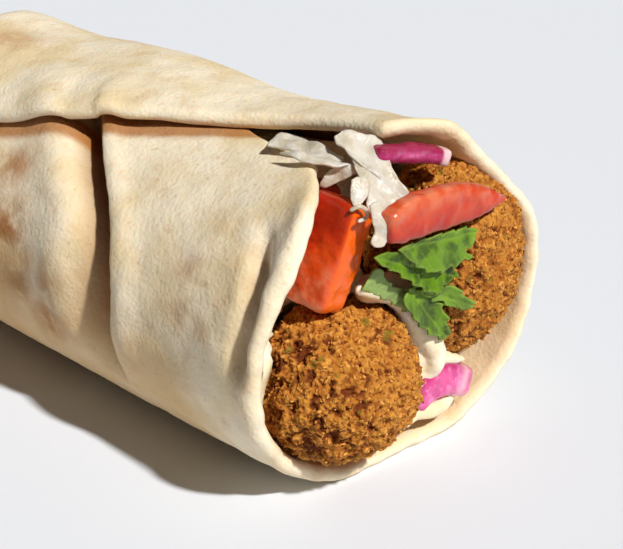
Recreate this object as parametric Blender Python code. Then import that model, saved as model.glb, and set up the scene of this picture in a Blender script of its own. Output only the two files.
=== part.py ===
"""A falafel wrap: a flatbread rolled round falafel balls, tomato, onion, pickle, parsley and tahini sauce.

The wrap lies on its side along X. Its open mouth faces +X, its far end is pressed flat, and it rests on
z = 0. Angles round the wrap are in degrees from the top, growing towards the front (-Y): 90 is the front,
180 the bottom and 270 the back. The bread starts under the top flap, runs down the front, below and up the
back, and its top flap ends beyond 360, over its own start. Places inside the wrap are given in mm: x from
the mouth's plane, y from the wrap's spine and z from the ground.
"""

import math

import bmesh
import bpy
import numpy as np
from mathutils import Vector, noise

MM = 0.001

# Driving dimensions of the wrap
MOUTH_X = 88.46 * MM
SPINE_Y = 0.56 * MM
WRAP_LENGTH = 190.0 * MM
MOUTH_HALF_WIDTH = 43.5 * MM
MOUTH_HEIGHT = 74.9 * MM
WAIST_HEIGHT = 67.3 * MM
NARROWING = 0.025
LOWERING = 0.02
END_HALF_WIDTH = 32.0 * MM
END_HEIGHT = 9.4 * MM
ROUNDNESS = 2.15
SHOULDER_ROUNDNESS = 1.65
BREAD_THICKNESS = 3.6 * MM
FLAP_GAP = 0.8 * MM
FOOT_SINK = 2.0 * MM
FOLD_DEPTH = 8.0 * MM
LIP_DEPTH = 3.0 * MM
CLEARANCE = 0.35 * MM

# The mouth's edge: how far behind the mouth's plane it lies, in mm, at angles round the wrap
RIM_ANGLES = (14, 22, 30, 40, 52, 68, 86, 110, 132, 160, 200, 235, 280, 310, 335, 350, 359)
RIM_DEPTHS = (13.0, 6.0, 1.0, -3.0, -4.8, -3.2, -0.6, 0.0, 2.0, 1.0, -1.0, -2.6, -2.0, -0.5, 0.0, 1.5, 7.0)

# The front panel's upper edge, which shows near the mouth: its angle at places in mm behind the mouth
PANEL_PLACES = (0, 10, 16.5, 21, 26, 32.5, 39.5, 50, 70, 100)
PANEL_ANGLES = (19.5, 19.0, 15.5, 13.0, 10.0, 7.0, 2.5, -4.0, -12.0, -17.0)

# The top flap's free edge, which winds to the front: its angle past 360 at places in mm behind the mouth
FLAP_PLACES = (0, 12, 24, 30, 42, 60, 78, 96, 126, 190)
FLAP_ANGLES = (1.5, 0.0, 0.0, 2.5, 10.0, 23.0, 34.0, 43.2, 54.0, 62.0)
EDGE_EASE = 5.0

# The front's fold: how far behind the mouth its crest lies, and how wide its valley is, in mm, at angles
FOLD_ANGLES = (20, 30, 38, 47, 56, 64, 79, 100, 120)
FOLD_CRESTS = (79.0, 71.0, 65.5, 58.0, 51.5, 47.0, 42.8, 42.0, 42.0)
FOLD_WIDTHS = (4.0, 5.0, 6.0, 7.0, 7.0, 7.5, 11.0, 12.0, 12.0)
FOLD_WALL = 2.6
FOLD_EASE = 6.0
CREST_RISE = 0.16
BULGE_RISE = 0.22

# Where the front's fold lies in the grid's rows
FOLD_ROW = 58.0 * MM
FOLD_ROW_REACH = 30.0 * MM

# Steps of the bread's grid
ROW_STEP = 9.0 * MM
FINE_ROW_STEP = 3.0 * MM
BREAD_COLUMNS = 38
ROUND_LENGTH = 230.0 * MM

# Falafel balls: the middle and the three radii of each, in mm
FRONT_BALL = ((-3.0, -16.6, 24.0), (16.5, 18.4, 16.8))
BACK_BALL = ((-6.8, 20.0, 38.4), (16.0, 18.0, 22.0))
BALL_CUTS = 11
CRAG = 0.75

# The sauce's front: how far it lies behind the mouth's plane, below and above the balls' tops
SAUCE_FRONT = 3.6
SAUCE_BACK = 10.6
SAUCE_TOP = 30.0
SAUCE_END = 150.0
CRATER_ROOM = 1.0

# Bars of filling: a path, a width, a thickness and the direction of the width
TOMATO_FRONT = (((-6.0, -20.6, 45.2), (-5.4, -17.8, 52.6), (-5.2, -14.6, 60.8)), 13.6, 7.0, (1, 0.1, 0))
TOMATO_DARK = (((-19.5, -12.0, 45.0), (-18.5, -10.0, 52.6), (-17.4, -8.4, 59.8)), 12.6, 6.0, (0.35, 1, 0))
TOMATO_BACK = (
    ((8.0, -13.6, 61.4), (8.0, -4.0, 61.3), (8.0, 4.6, 60.3), (8.0, 12.4, 58.9), (7.6, 19.6, 57.2)),
    9.2, 4.2, (0, 0, 1)
)
PICKLE_STICK = (((-5.6, -1.8, 69.0), (-3.6, 5.4, 67.8), (-1.6, 12.8, 65.6)), 3.9, 4.4, (0, 0, 1))
PICKLE_CHUNK = (((0.2, 5.2, 13.6), (0.2, 12.0, 13.8), (0.0, 18.6, 12.2)), 7.4, 5.6, (0, 0, 1))
LONG_ONION = ((-27.0, -9.0, 67.0), (-20.5, -8.5, 68.6), (-14.0, -7.0, 67.6), (-9.5, -5.6, 67.2))
BENT_ONION = (
    (-12.0, -5.5, 70.6), (-8.0, -4.6, 71.6), (-3.4, -5.0, 70.0), (0.2, -4.2, 65.6), (1.0, -1.0, 61.4)
)
SHORT_ONION = ((4.0, -14.8, 66.4), (7.0, -16.6, 65.4), (9.4, -17.6, 63.4), (9.8, -17.0, 60.0))
ONION_STRIPS = (
    (LONG_ONION, 2.8, 1.2, (0, 1, 0.5)),
    (BENT_ONION, 4.2, 1.4, (0, 1, 0.4)),
    (SHORT_ONION, 2.6, 1.1, (0.4, 1, 0)),
)

# The parsley: its outline as places y and z, and how far before the mouth it hangs at its near and far side
LEAF_THICKNESS = 0.7 * MM
LEAF_ROOM = 1.4
LEAF_WAVE = 0.6
LEAF_NEAR = 2.0
LEAF_FAR = 6.2
PARSLEY_OUTLINE = (
    (-14.0, 54.4), (-9.2, 55.0), (-3.8, 54.8), (2.6, 54.2), (8.0, 53.2), (13.7, 51.2), (11.6, 49.1),
    (11.1, 47.0), (6.4, 47.4), (7.9, 44.6), (8.6, 42.5), (6.4, 41.8), (9.0, 39.3), (12.5, 34.9),
    (8.9, 35.3), (5.2, 37.5), (6.8, 34.0), (8.6, 28.0), (5.9, 28.5), (1.2, 32.1), (-2.5, 36.4),
    (-5.3, 39.4), (-8.7, 42.0), (-12.3, 44.4), (-14.1, 48.2),
)

# Steps of the sauce's grid
SAUCE_ROOM = 0.8 * MM
SAUCE_SIDES = 32
SAUCE_RINGS = 12
SAUCE_STEPS = 14

# The table of the wrap's outer outline
SKIN_FIRST = -10.0 * MM
SKIN_STEP = 1.0 * MM
SKIN_TURNS = 360


def smooth(x):
    """An S-shaped step from 0 to 1."""
    x = np.clip(x, 0.0, 1.0)
    return x * x * (3 - 2 * x)


def window(x, rise, full, fade, gone):
    """A plateau of 1 between full and fade, with soft sides."""
    return smooth((x - rise) / (full - rise)) * (1 - smooth((x - fade) / (gone - fade)))


def bump(x, centre, width):
    """A bell of height 1."""
    return np.exp(-(((x - centre) / width) ** 2))


def eased(x, places, values, reach):
    """A line through the values at the places, with its corners rounded over the reach."""
    return sum(np.interp(x + reach * k, places, values) for k in (-1, -0.5, 0, 0.5, 1)) / 5


def half_width(s):
    straight = MOUTH_HALF_WIDTH - NARROWING * s
    end = smooth((s - 0.45 * WRAP_LENGTH) / (0.55 * WRAP_LENGTH))
    return straight + (END_HALF_WIDTH - straight) * end


def height(s):
    flare = (MOUTH_HEIGHT - WAIST_HEIGHT) * np.exp(-np.maximum(s, 0.0) / (22 * MM))
    straight = WAIST_HEIGHT - LOWERING * s + flare
    end = smooth((s - 0.7 * WRAP_LENGTH) / (0.3 * WRAP_LENGTH))
    return straight + (END_HEIGHT - straight) * end


def skin_outline(s):
    """The wrap's outer outline at the distance s behind the mouth: y, z and the normal, at even steps."""
    t = np.linspace(0.0, 2 * math.pi, 1441)
    degrees = np.degrees(t)
    power = ROUNDNESS + (SHOULDER_ROUNDNESS - ROUNDNESS) * window(degrees, 268, 300, 320, 346)
    across, up = np.abs(np.sin(t) / half_width(s)), np.abs(np.cos(t) / (height(s) / 2))
    radius = (across**power + up**power) ** (-1 / power)
    y = -radius * np.sin(t)
    z = height(s) / 2 + radius * np.cos(t)
    z = np.maximum(z - FOOT_SINK * height(s) / MOUTH_HEIGHT, 0.0)
    along_y, along_z = np.gradient(y), np.gradient(z)
    normal = np.stack([along_z, -along_y]) / np.maximum(np.hypot(along_y, along_z), 1e-12)
    length = np.concatenate([[0.0], np.cumsum(np.hypot(np.diff(y), np.diff(z)))])
    even = np.linspace(0.0, length[-1], SKIN_TURNS + 1)
    return np.stack([np.interp(even, length, v) for v in (y, z, normal[0], normal[1])], axis=-1)


SKIN_ROWS = int((WRAP_LENGTH - SKIN_FIRST + 10 * MM) / SKIN_STEP) + 1
SKIN = np.array([skin_outline(SKIN_FIRST + SKIN_STEP * i) for i in range(SKIN_ROWS)])


def on_skin(s, phi, out):
    """Points on the wrap's skin at the distance s and the angle phi, moved out along its normal."""
    row = np.clip((s - SKIN_FIRST) / SKIN_STEP, 0, SKIN_ROWS - 1.001)
    turn = np.mod(phi, 360.0) * SKIN_TURNS / 360.0
    i, j = row.astype(int), np.minimum(turn.astype(int), SKIN_TURNS - 1)
    fi, fj = (row - i)[..., None], (turn - j)[..., None]
    near = SKIN[i, j] * (1 - fj) + SKIN[i, j + 1] * fj
    far = SKIN[i + 1, j] * (1 - fj) + SKIN[i + 1, j + 1] * fj
    y, z, ny, nz = np.moveaxis(near * (1 - fi) + far * fi, -1, 0)
    return np.stack([MOUTH_X - s, SPINE_Y + y + out * ny, z + out * nz], axis=-1)


def panel_edge(s):
    """The angle of the front panel's upper edge."""
    return eased(s / MM, PANEL_PLACES, PANEL_ANGLES, EDGE_EASE)


def flap_edge(s):
    """The angle past 360 of the top flap's free edge."""
    return eased(s / MM, FLAP_PLACES, FLAP_ANGLES, EDGE_EASE)


def rim(phi):
    """How far behind the mouth's plane the bread's edge lies."""
    behind = np.interp(phi, RIM_ANGLES, RIM_DEPTHS)
    for turn in (4, 8):
        before, after = (np.interp(phi + way * turn, RIM_ANGLES, RIM_DEPTHS) for way in (-1, 1))
        behind = behind / 2 + (before + after) / 4
    return behind * MM


def far_edge(phi):
    """How far behind the mouth's plane the far end's edge lies."""
    return WRAP_LENGTH + 1.6 * MM * np.sin(np.radians(2 * phi + 30)) - 1.0 * MM


def fold_crest(phi):
    """How far behind the mouth the fold's crest lies: it slants back as it climbs."""
    return eased(phi, FOLD_ANGLES, FOLD_CRESTS, FOLD_EASE) * MM


def front_relief(s, phi, deep):
    """The front's fold, its bulges and the rolled lip, as heights. deep is for the bread's outer face."""
    behind_crest = (s - fold_crest(phi)) / MM
    width = eased(phi, FOLD_ANGLES, FOLD_WIDTHS, FOLD_EASE)
    depth = FOLD_DEPTH * window(phi, 6, 34, 94, 118)
    wall = smooth(behind_crest / FOLD_WALL)
    slope = np.exp(-((np.maximum(behind_crest - 2, 0) / (0.75 * width)) ** 1.8))
    valley = -depth * wall * slope * (1 if deep else 0.7)
    crest = CREST_RISE * depth * bump(behind_crest, -2.4, 4.4)
    bulge = BULGE_RISE * depth * bump(behind_crest, 18.0, 8.0)
    behind = s - rim(phi)
    lip = 1.3 * MM * bump(behind, 2.6 * MM, 3.2 * MM) * window(phi, 26, 44, 104, 128)
    groove = -LIP_DEPTH * bump(behind, 8.6 * MM, 3.0 * MM) * window(phi, 32, 50, 84, 100)
    return valley + crest + bulge + lip + groove * (1 if deep else 0.6)


def top_relief(s, phi):
    """The back and top: flattened beside the mouth, with slow waves further on."""
    wave = 0.9 * MM * np.sin(s / (11 * MM) + 0.02 * phi)
    return wave * window(phi, 230, 290, 400, 440) * smooth(s / (40 * MM))


def bread_offset(s, phi, outer):
    """How far a face of the bread lies outside the skin."""
    over = smooth((phi - 360 - panel_edge(s) + 75) / 60)
    below = np.maximum(front_relief(s, phi - 360, True), 0.0)
    front = front_relief(s, phi, outer) * (1 - smooth((phi - 180) / 60))
    lifted = over * (BREAD_THICKNESS + FLAP_GAP + below * smooth((phi - 330) / 20))
    return front + lifted + top_relief(s, phi) - (0.0 if outer else BREAD_THICKNESS)


def near_edges(count, edge_steps):
    """Shares from 0 to 1, with extra ones beside both ends for a rounded edge."""
    inner = np.linspace(edge_steps[-1], 1 - edge_steps[-1], count)
    first = np.array((0.0,) + edge_steps[:-1])
    return np.concatenate([first, inner, 1 - first[::-1]])


def bread_rows():
    """Distances behind the mouth, closer together at the lip and at the fold."""
    s, rows = 0.0, [0.0]
    while s < WRAP_LENGTH:
        fine = max(bump(s, 7 * MM, 9 * MM), bump(s, FOLD_ROW, 11 * MM))
        s += ROW_STEP + (FINE_ROW_STEP - ROW_STEP) * fine
        rows.append(s)
    rows = np.array(rows) / rows[-1]
    edge = BREAD_THICKNESS / 2 / WRAP_LENGTH
    inside = edge + (1 - 2 * edge) * rows
    return np.concatenate([[0.0, 0.3 * edge], inside, [1 - 0.3 * edge, 1.0]])


def rounded_edge(distance):
    """The share of the full thickness at a distance from the sheet's edge."""
    x = np.clip(distance / (BREAD_THICKNESS / 2), 0.0, 1.0)
    return np.sqrt(1 - (1 - x) ** 2)


def behind_mouth(share, phi):
    """How far behind the mouth's plane a share of the bread's length lies: the grid's rows follow the fold."""
    s = rim(phi) * (1 - share) + far_edge(phi) * share
    shift = fold_crest(phi) + FOLD_WALL * MM - FOLD_ROW
    return s + shift * bump(s, FOLD_ROW, FOLD_ROW_REACH) * (1 - smooth((phi - 110) / 90))


def flatbread():
    """The sheet, as two faces that meet along the rounded edge."""
    u = bread_rows()
    edge = BREAD_THICKNESS / 2 / ROUND_LENGTH
    v = near_edges(BREAD_COLUMNS, (0.3 * edge, edge))
    uu, vv = np.meshgrid(u, v, indexing="ij")
    start = panel_edge(behind_mouth(uu, PANEL_ANGLES[0]))
    phi = start + vv * (360 + flap_edge(behind_mouth(uu, 360.0)) - start)
    s = behind_mouth(uu, phi)
    to_ends, to_sides = np.minimum(uu, 1 - uu) * WRAP_LENGTH, np.minimum(vv, 1 - vv) * ROUND_LENGTH
    thick = rounded_edge(np.minimum(to_ends, to_sides))
    outer = bread_offset(s, phi, True)
    inner = bread_offset(s, phi, False)
    middle = (outer + inner) / 2
    top = on_skin(s, phi, middle + (outer - middle) * thick)
    top[..., 2] = np.maximum(top[..., 2], 0.0)
    bottom = on_skin(s, phi, middle + (inner - middle) * thick)
    return pillow("flatbread", top, bottom)


def pillow(name, top, bottom):
    """A closed mesh from two grids of points that share their border."""
    rows, columns = top.shape[:2]
    on_border = np.zeros((rows, columns), bool)
    on_border[[0, -1], :] = True
    on_border[:, [0, -1]] = True
    upper = np.arange(rows * columns).reshape(rows, columns)
    lower = upper.copy()
    lower[~on_border] = rows * columns + np.arange((~on_border).sum())
    points = np.concatenate([top.reshape(-1, 3), bottom[~on_border]])
    faces = []
    for i in range(rows - 1):
        for j in range(columns - 1):
            faces.append((upper[i, j], upper[i, j + 1], upper[i + 1, j + 1], upper[i + 1, j]))
            faces.append((lower[i, j], lower[i + 1, j], lower[i + 1, j + 1], lower[i, j + 1]))
    mesh = bpy.data.meshes.new(name)
    mesh.from_pydata(points.tolist(), [], faces)
    return outward(mesh, name)


def outward(mesh, name):
    """An object of the mesh, with its faces turned out."""
    bm = bmesh.new()
    bm.from_mesh(mesh)
    bmesh.ops.recalc_face_normals(bm, faces=bm.faces)
    if bm.calc_volume(signed=True) < 0:
        bmesh.ops.reverse_faces(bm, faces=bm.faces)
    bmesh.ops.triangulate(bm, faces=bm.faces)
    bm.to_mesh(mesh)
    bm.free()
    mesh.shade_smooth()
    obj = bpy.data.objects.new(name, mesh)
    PIECES.objects.link(obj)
    return obj


def round_ball(cuts):
    """A ball of radius 1 with even faces: a cube cut into a grid and blown round."""
    bm = bmesh.new()
    bmesh.ops.create_cube(bm, size=2.0)
    bmesh.ops.subdivide_edges(bm, edges=bm.edges, cuts=cuts, use_grid_fill=True)
    for vertex in bm.verts:
        vertex.co = Vector([math.tan(c * math.pi / 4) for c in vertex.co]).normalized()
    return bm


def from_mouth(point):
    """A place given in mm from the mouth's plane, the wrap's spine and the ground."""
    return Vector((MOUTH_X + point[0] * MM, SPINE_Y + point[1] * MM, point[2] * MM))


def inside_bread(point):
    """The point itself, or the place on the bread's inner face that it is pressed back to."""
    x, y, z = point
    turns = np.arange(0.0, 360.0, 4.0)
    wall = sauce_wall(np.full(len(turns), -x * MM), turns, CLEARANCE)
    middle = height(-x * MM) / MM / 2
    wall_y, wall_z = (wall[:, 1] - SPINE_Y) / MM, wall[:, 2] / MM - middle
    angles, reaches = np.arctan2(wall_y, wall_z), np.hypot(wall_y, wall_z)
    reach = np.interp(math.atan2(y, z - middle), angles, reaches, period=2 * math.pi)
    share = min(1.0, reach / max(math.hypot(y, z - middle), 1e-6))
    return x, y * share, middle + (z - middle) * share


def falafel(name, ball, seed):
    """A fried ball with a crust of crags."""
    centre, radii = ball
    bm = round_ball(BALL_CUTS)
    for vertex in bm.verts:
        out = vertex.co.copy()
        lump = 1.2 * noise.noise(out * 1.6 + Vector((seed, 0, 0)))
        crag = 1.5 * noise.noise(out * 6.5 + Vector((0, seed, 0)))
        rise = CRAG * max(-1.5, min(lump + crag, 1.0))
        vertex.co = from_mouth(inside_bread([c + o * (r + rise) for c, o, r in zip(centre, out, radii)]))
    mesh = bpy.data.meshes.new(name)
    bm.to_mesh(mesh)
    bm.free()
    return outward(mesh, name)


def behind_ball(ball, y, z):
    """How far behind the mouth's plane the back of a ball lies, and the ball's middle round about it."""
    (x, y0, z0), (rx, ry, rz) = ball
    room = CRAG + CRATER_ROOM
    inside = 1 - ((y - y0) / (ry + room)) ** 2 - ((z - z0) / (rz + room)) ** 2
    return -x + (rx + room) * np.sqrt(np.maximum(inside, 0.0)) - 60.0 * np.maximum(-inside - 0.25, 0.0)


def front_of_ball(ball, y, z):
    """How far in front of the mouth's plane the front of a ball lies, or far behind it beside the ball."""
    (x, y0, z0), (rx, ry, rz) = ball
    inside = 1 - ((y - y0) / (ry + CRAG)) ** 2 - ((z - z0) / (rz + CRAG)) ** 2
    return x + (rx + CRAG) * math.sqrt(inside) if inside > 0 else -50.0


def sauce_front(y, z):
    """How far behind the mouth's plane the sauce begins at y and z."""
    base = SAUCE_FRONT + (SAUCE_BACK - SAUCE_FRONT) * smooth((y + 3) / 12)
    base = base + (SAUCE_TOP - base) * smooth((z - 34) / 12)
    return np.maximum(base, np.maximum(behind_ball(FRONT_BALL, y, z), behind_ball(BACK_BALL, y, z)))


def tahini_sauce():
    """The filling that runs through the wrap: a loft inside the bread, hollowed in front round the balls."""
    turns = np.linspace(0.0, 360.0, SAUCE_SIDES, endpoint=False)
    rings = []
    for share in np.linspace(0.06, 1.0, SAUCE_RINGS):
        wall = sauce_wall(np.full(SAUCE_SIDES, SAUCE_TOP * MM), turns, SAUCE_ROOM)
        y = (wall[:, 1] - SPINE_Y) / MM * share
        z = height(SAUCE_TOP * MM) / MM / 2 + (wall[:, 2] / MM - height(SAUCE_TOP * MM) / MM / 2) * share
        depth = sauce_front(y, z)
        rings.append(np.stack([MOUTH_X - depth * MM, SPINE_Y + y * MM, z * MM], axis=-1))
    mouth = sauce_wall(MOUTH_X - rings[-1][:, 0], turns, SAUCE_ROOM)
    rings[-1] = mouth
    for share in np.linspace(0.0, 1.0, SAUCE_STEPS)[1:]:
        s = (MOUTH_X - mouth[:, 0]) * (1 - share) + SAUCE_END * MM * share
        rings.append(sauce_wall(s, turns, SAUCE_ROOM))
    return loft("tahini_sauce", rings)


def sauce_wall(s, phi, room):
    """Points inside the bread, with some room to its inner face."""
    front = np.where(phi < 180, phi, phi - 360)
    fold = 0.8 * FOLD_DEPTH * window(s, 28 * MM, 44 * MM, 76 * MM, 94 * MM) * window(front, 0, 24, 98, 124)
    lip_place = window(s, -8 * MM, -2 * MM, 12 * MM, 24 * MM)
    groove = 0.65 * LIP_DEPTH * lip_place * window(front, 24, 44, 90, 108)
    return on_skin(s, phi, np.minimum(top_relief(s, phi), 0.0) - fold - groove - BREAD_THICKNESS - room)


def loft(name, rings):
    """A closed mesh through rings of equally many points, its ends closed by fans."""
    count, sides = len(rings), len(rings[0])
    points = np.concatenate([*rings, [np.mean(rings[0], axis=0)], [np.mean(rings[-1], axis=0)]])
    faces = []
    for i in range(count - 1):
        for j in range(sides):
            k = (j + 1) % sides
            faces.append((i * sides + j, i * sides + k, (i + 1) * sides + k, (i + 1) * sides + j))
    for j in range(sides):
        k = (j + 1) % sides
        faces.append((count * sides, k, j))
        faces.append((count * sides + 1, (count - 1) * sides + j, (count - 1) * sides + k))
    mesh = bpy.data.meshes.new(name)
    mesh.from_pydata(points.tolist(), [], faces)
    return outward(mesh, name)


def smooth_path(points, count):
    """Evenly spread points on a smooth curve through the given ones."""
    points = np.array(points, float)
    ends = np.concatenate([[2 * points[0] - points[1]], points, [2 * points[-1] - points[-2]]])
    at = np.linspace(0, len(points) - 1, count)
    i = np.minimum(at.astype(int), len(points) - 2)
    f = (at - i)[:, None]
    a, b, c, d = (ends[i + k] for k in range(4))
    return 0.5 * (2 * b + (c - a) * f + (2 * a - 5 * b + 4 * c - d) * f**2 + (3 * b - a - 3 * c + d) * f**3)


def bar(name, shape, slimmest=(1.0, 1.0), squareness=4.0, steps=9, sides=16):
    """A bar of filling swept along its path, slimmer towards its ends, with rounded edges."""
    path, width, thickness, across = shape
    middle = smooth_path(path, steps)
    along = np.gradient(middle, axis=0)
    along /= np.linalg.norm(along, axis=1, keepdims=True)
    side = np.array(across, float) - along * (along @ np.array(across, float))[:, None]
    side /= np.linalg.norm(side, axis=1, keepdims=True)
    face = np.cross(along, side)
    angles = np.linspace(0, 2 * math.pi, sides, endpoint=False)
    cosine, sine = np.cos(angles), np.sin(angles)
    radius = (np.abs(cosine) ** squareness + np.abs(sine) ** squareness) ** (-1 / squareness)
    rounding = 0.3 * min(width, thickness)
    rings = []
    for i in range(steps):
        share = i / (steps - 1)
        first, last = 1 - smooth(2 * share), 1 - smooth(2 - 2 * share)
        slim = 1 - (1 - slimmest[0]) * first - (1 - slimmest[1]) * last
        broad, deep = width / 2 * slim * radius * cosine, thickness / 2 * radius * sine
        ring = side[i] * broad[:, None] + face[i] * deep[:, None]
        if i in (0, steps - 1):
            out = along[i] * rounding * (-1 if i == 0 else 1)
            ends = [middle[i] + ring, middle[i] + ring * 0.86 + out * 0.7, middle[i] + ring * 0.6 + out]
            rings += ends[::-1] if i == 0 else ends
        else:
            rings.append(middle[i] + ring)
    return loft(name, [np.array([from_mouth(p) for p in ring]) for ring in rings])


def leaf_depth(y, z):
    """How far before the mouth the parsley hangs at y and z, clear of both balls."""
    hanging = LEAF_NEAR + (LEAF_FAR - LEAF_NEAR) * smooth((y + 9) / 16)
    depth = max(hanging, front_of_ball(BACK_BALL, y, z), front_of_ball(FRONT_BALL, y, z))
    return depth + LEAF_ROOM + LEAF_WAVE * math.sin(0.55 * y - 0.45 * z)


def parsley():
    """A sprig of leaflets over the back ball: a waved sheet of triangles, the same on both of its faces."""
    bm = bmesh.new()
    bm.faces.new([bm.verts.new((0, y, z)) for y, z in PARSLEY_OUTLINE])
    bm.normal_update()
    bmesh.ops.triangulate(bm, faces=bm.faces)
    bmesh.ops.subdivide_edges(bm, edges=bm.edges, cuts=2, use_grid_fill=True)
    bmesh.ops.triangulate(bm, faces=bm.faces)
    for vertex in bm.verts:
        vertex.co = from_mouth((leaf_depth(vertex.co.y, vertex.co.z), vertex.co.y, vertex.co.z))
    bm.verts.index_update()
    front = [vertex.co.copy() for vertex in bm.verts]
    behind = [point - Vector((LEAF_THICKNESS, 0, 0)) for point in front]
    count = len(front)
    faces = [[v.index for v in face.verts] for face in bm.faces]
    faces += [[index + count for index in reversed(face)] for face in faces]
    for edge in bm.edges:
        if edge.is_boundary:
            a, b = (v.index for v in edge.verts)
            faces += [[a, b, b + count], [a, b + count, a + count]]
    bm.free()
    mesh = bpy.data.meshes.new("parsley")
    mesh.from_pydata(front + behind, [], faces)
    return outward(mesh, "parsley")


def material(name, colour, roughness):
    """A matt or wet material of one colour."""
    made = bpy.data.materials.new(name)
    made.use_nodes = True
    shader = made.node_tree.nodes["Principled BSDF"]
    shader.inputs["Base Color"].default_value = (*colour, 1)
    shader.inputs["Roughness"].default_value = roughness
    shader.inputs["Metallic"].default_value = 0.0
    return made


for old in list(bpy.data.objects):
    bpy.data.objects.remove(old)
PIECES = bpy.data.collections.new("falafel_wrap")
bpy.context.scene.collection.children.link(PIECES)

# Colours as linear red, green and blue
FLATBREAD = (0.82, 0.72, 0.53)
CRUST = (0.42, 0.18, 0.04)
SAUCE = (0.93, 0.87, 0.68)
TOMATO = (0.75, 0.09, 0.02)
ONION = (0.90, 0.84, 0.76)
PICKLE = (0.75, 0.12, 0.32)
LEAF = (0.15, 0.28, 0.02)

flatbread().data.materials.append(material("flatbread", FLATBREAD, 0.75))
tahini_sauce().data.materials.append(material("tahini_sauce", SAUCE, 0.4))
falafel("falafel_front", FRONT_BALL, 3.1).data.materials.append(material("crust_front", CRUST, 0.8))
falafel("falafel_back", BACK_BALL, 8.7).data.materials.append(material("crust_back", CRUST, 0.8))
bar("tomato_front", TOMATO_FRONT).data.materials.append(material("tomato_front", TOMATO, 0.35))
bar("tomato_dark", TOMATO_DARK).data.materials.append(material("tomato_dark", TOMATO, 0.35))
bar("tomato_back", TOMATO_BACK, (0.95, 0.2)).data.materials.append(material("tomato_back", TOMATO, 0.35))
bar("pickle_stick", PICKLE_STICK).data.materials.append(material("pickle_stick", PICKLE, 0.35))
bar("pickle_chunk", PICKLE_CHUNK).data.materials.append(material("pickle_chunk", PICKLE, 0.35))
for number, strip in enumerate(ONION_STRIPS, 1):
    name = f"onion_{number}"
    bar(name, strip, (0.6, 0.6), 2.5, 11, 10).data.materials.append(material(name, ONION, 0.4))
parsley().data.materials.append(material("parsley", LEAF, 0.5))
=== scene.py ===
"""A falafel wrap on a pale floor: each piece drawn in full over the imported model's frame."""
import math

import bmesh
import bpy
import numpy as np
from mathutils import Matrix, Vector, noise
from mathutils.geometry import delaunay_2d_cdt


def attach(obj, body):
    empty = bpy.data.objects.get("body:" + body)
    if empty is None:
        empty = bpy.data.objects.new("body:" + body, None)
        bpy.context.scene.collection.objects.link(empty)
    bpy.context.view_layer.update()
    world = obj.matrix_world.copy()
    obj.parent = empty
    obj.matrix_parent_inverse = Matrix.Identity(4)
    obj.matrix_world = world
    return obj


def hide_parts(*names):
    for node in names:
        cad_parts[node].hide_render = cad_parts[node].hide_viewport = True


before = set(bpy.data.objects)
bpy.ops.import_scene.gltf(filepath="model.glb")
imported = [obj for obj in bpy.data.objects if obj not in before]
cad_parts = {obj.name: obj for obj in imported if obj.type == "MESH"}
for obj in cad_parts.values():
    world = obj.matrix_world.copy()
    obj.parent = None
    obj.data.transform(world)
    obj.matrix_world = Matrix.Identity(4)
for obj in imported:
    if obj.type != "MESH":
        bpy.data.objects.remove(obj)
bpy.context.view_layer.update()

# Flatbread: a thin round wheat bread, baked on a hot plate, that is rolled round the filling by hand.
# Its far end is pressed flat, one flap lies over the other along the top, and the grip of the hand
# pinches the front into a deep fold. The skin is dry and floury, with toasted blisters.
MM = 0.001
MOUTH_X, SPINE_Y = 88.46 * MM, 0.56 * MM
WRAP_LENGTH, ROUND_LENGTH = 190 * MM, 230 * MM
MOUTH_HALF_WIDTH, END_HALF_WIDTH, NARROWING = 43.5 * MM, 32 * MM, 0.025
MOUTH_HEIGHT, WAIST_HEIGHT, END_HEIGHT, LOWERING = 74.9 * MM, 67.3 * MM, 9.4 * MM, 0.02
FLARE_LENGTH, FOOT_SINK = 22 * MM, 2.0 * MM
# The shares of the length from which the wrap changes to its pressed end's width and height
WIDTH_CHANGE, HEIGHT_CHANGE = 0.45, 0.7
BREAD_THICKNESS, FLAP_GAP, FLAP_RISE, FLAP_RISE_SPAN = 3.6 * MM, 0.8 * MM, 75, 60
BREAD_ROWS, BREAD_COLUMNS = 176, 236
SKIN_FIRST, SKIN_STEP, SKIN_TURNS, OUTLINE_POINTS = -10.0 * MM, 1.0 * MM, 360, 1441
# Angles are in degrees from the top over the front. A span: where a form begins, is full, fades and ends
ROUNDNESS, SHOULDER_ROUNDNESS, SHOULDER_SPAN = 2.15, 1.65, (268, 300, 320, 346)
# The bread's edge at the mouth: how far behind the mouth's plane it lies in mm, by angle, and its torn waves
RIM_ANGLES = (14, 22, 30, 40, 52, 68, 86, 110, 132, 160, 200, 235, 280, 310, 335, 350, 359)
RIM_DEPTHS = (14.5, 8.8, 4, -0.6, -4.2, -3.2, -0.6, 0, 2, 1, -1, -2.6, -2, -0.5, 0, 1.5, 7)
RIM_TEAR, RIM_FRAY = 0.22, 0.12
# The angles of the front panel's edge, and of the top flap's edge past 360, at places in mm behind the mouth
PANEL_PLACES = (0, 10, 16.5, 21, 26, 32.5, 39.5, 50, 70, 100)
PANEL_ANGLES = (19.5, 19, 15.5, 13, 10, 7, 2.5, -4, -12, -17)
FLAP_PLACES = (0, 12, 24, 30, 42, 60, 78, 96, 126, 190)
FLAP_ANGLES = (1.5, 0, 0, 2.5, 10, 23, 34, 43.2, 54, 62)
EDGE_EASE, FLAP_TEAR, FLAP_FRAY = 5.0, 0.16, 0.1
FAR_WAVE, FAR_BACK = 1.6 * MM, 1.0 * MM
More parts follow.
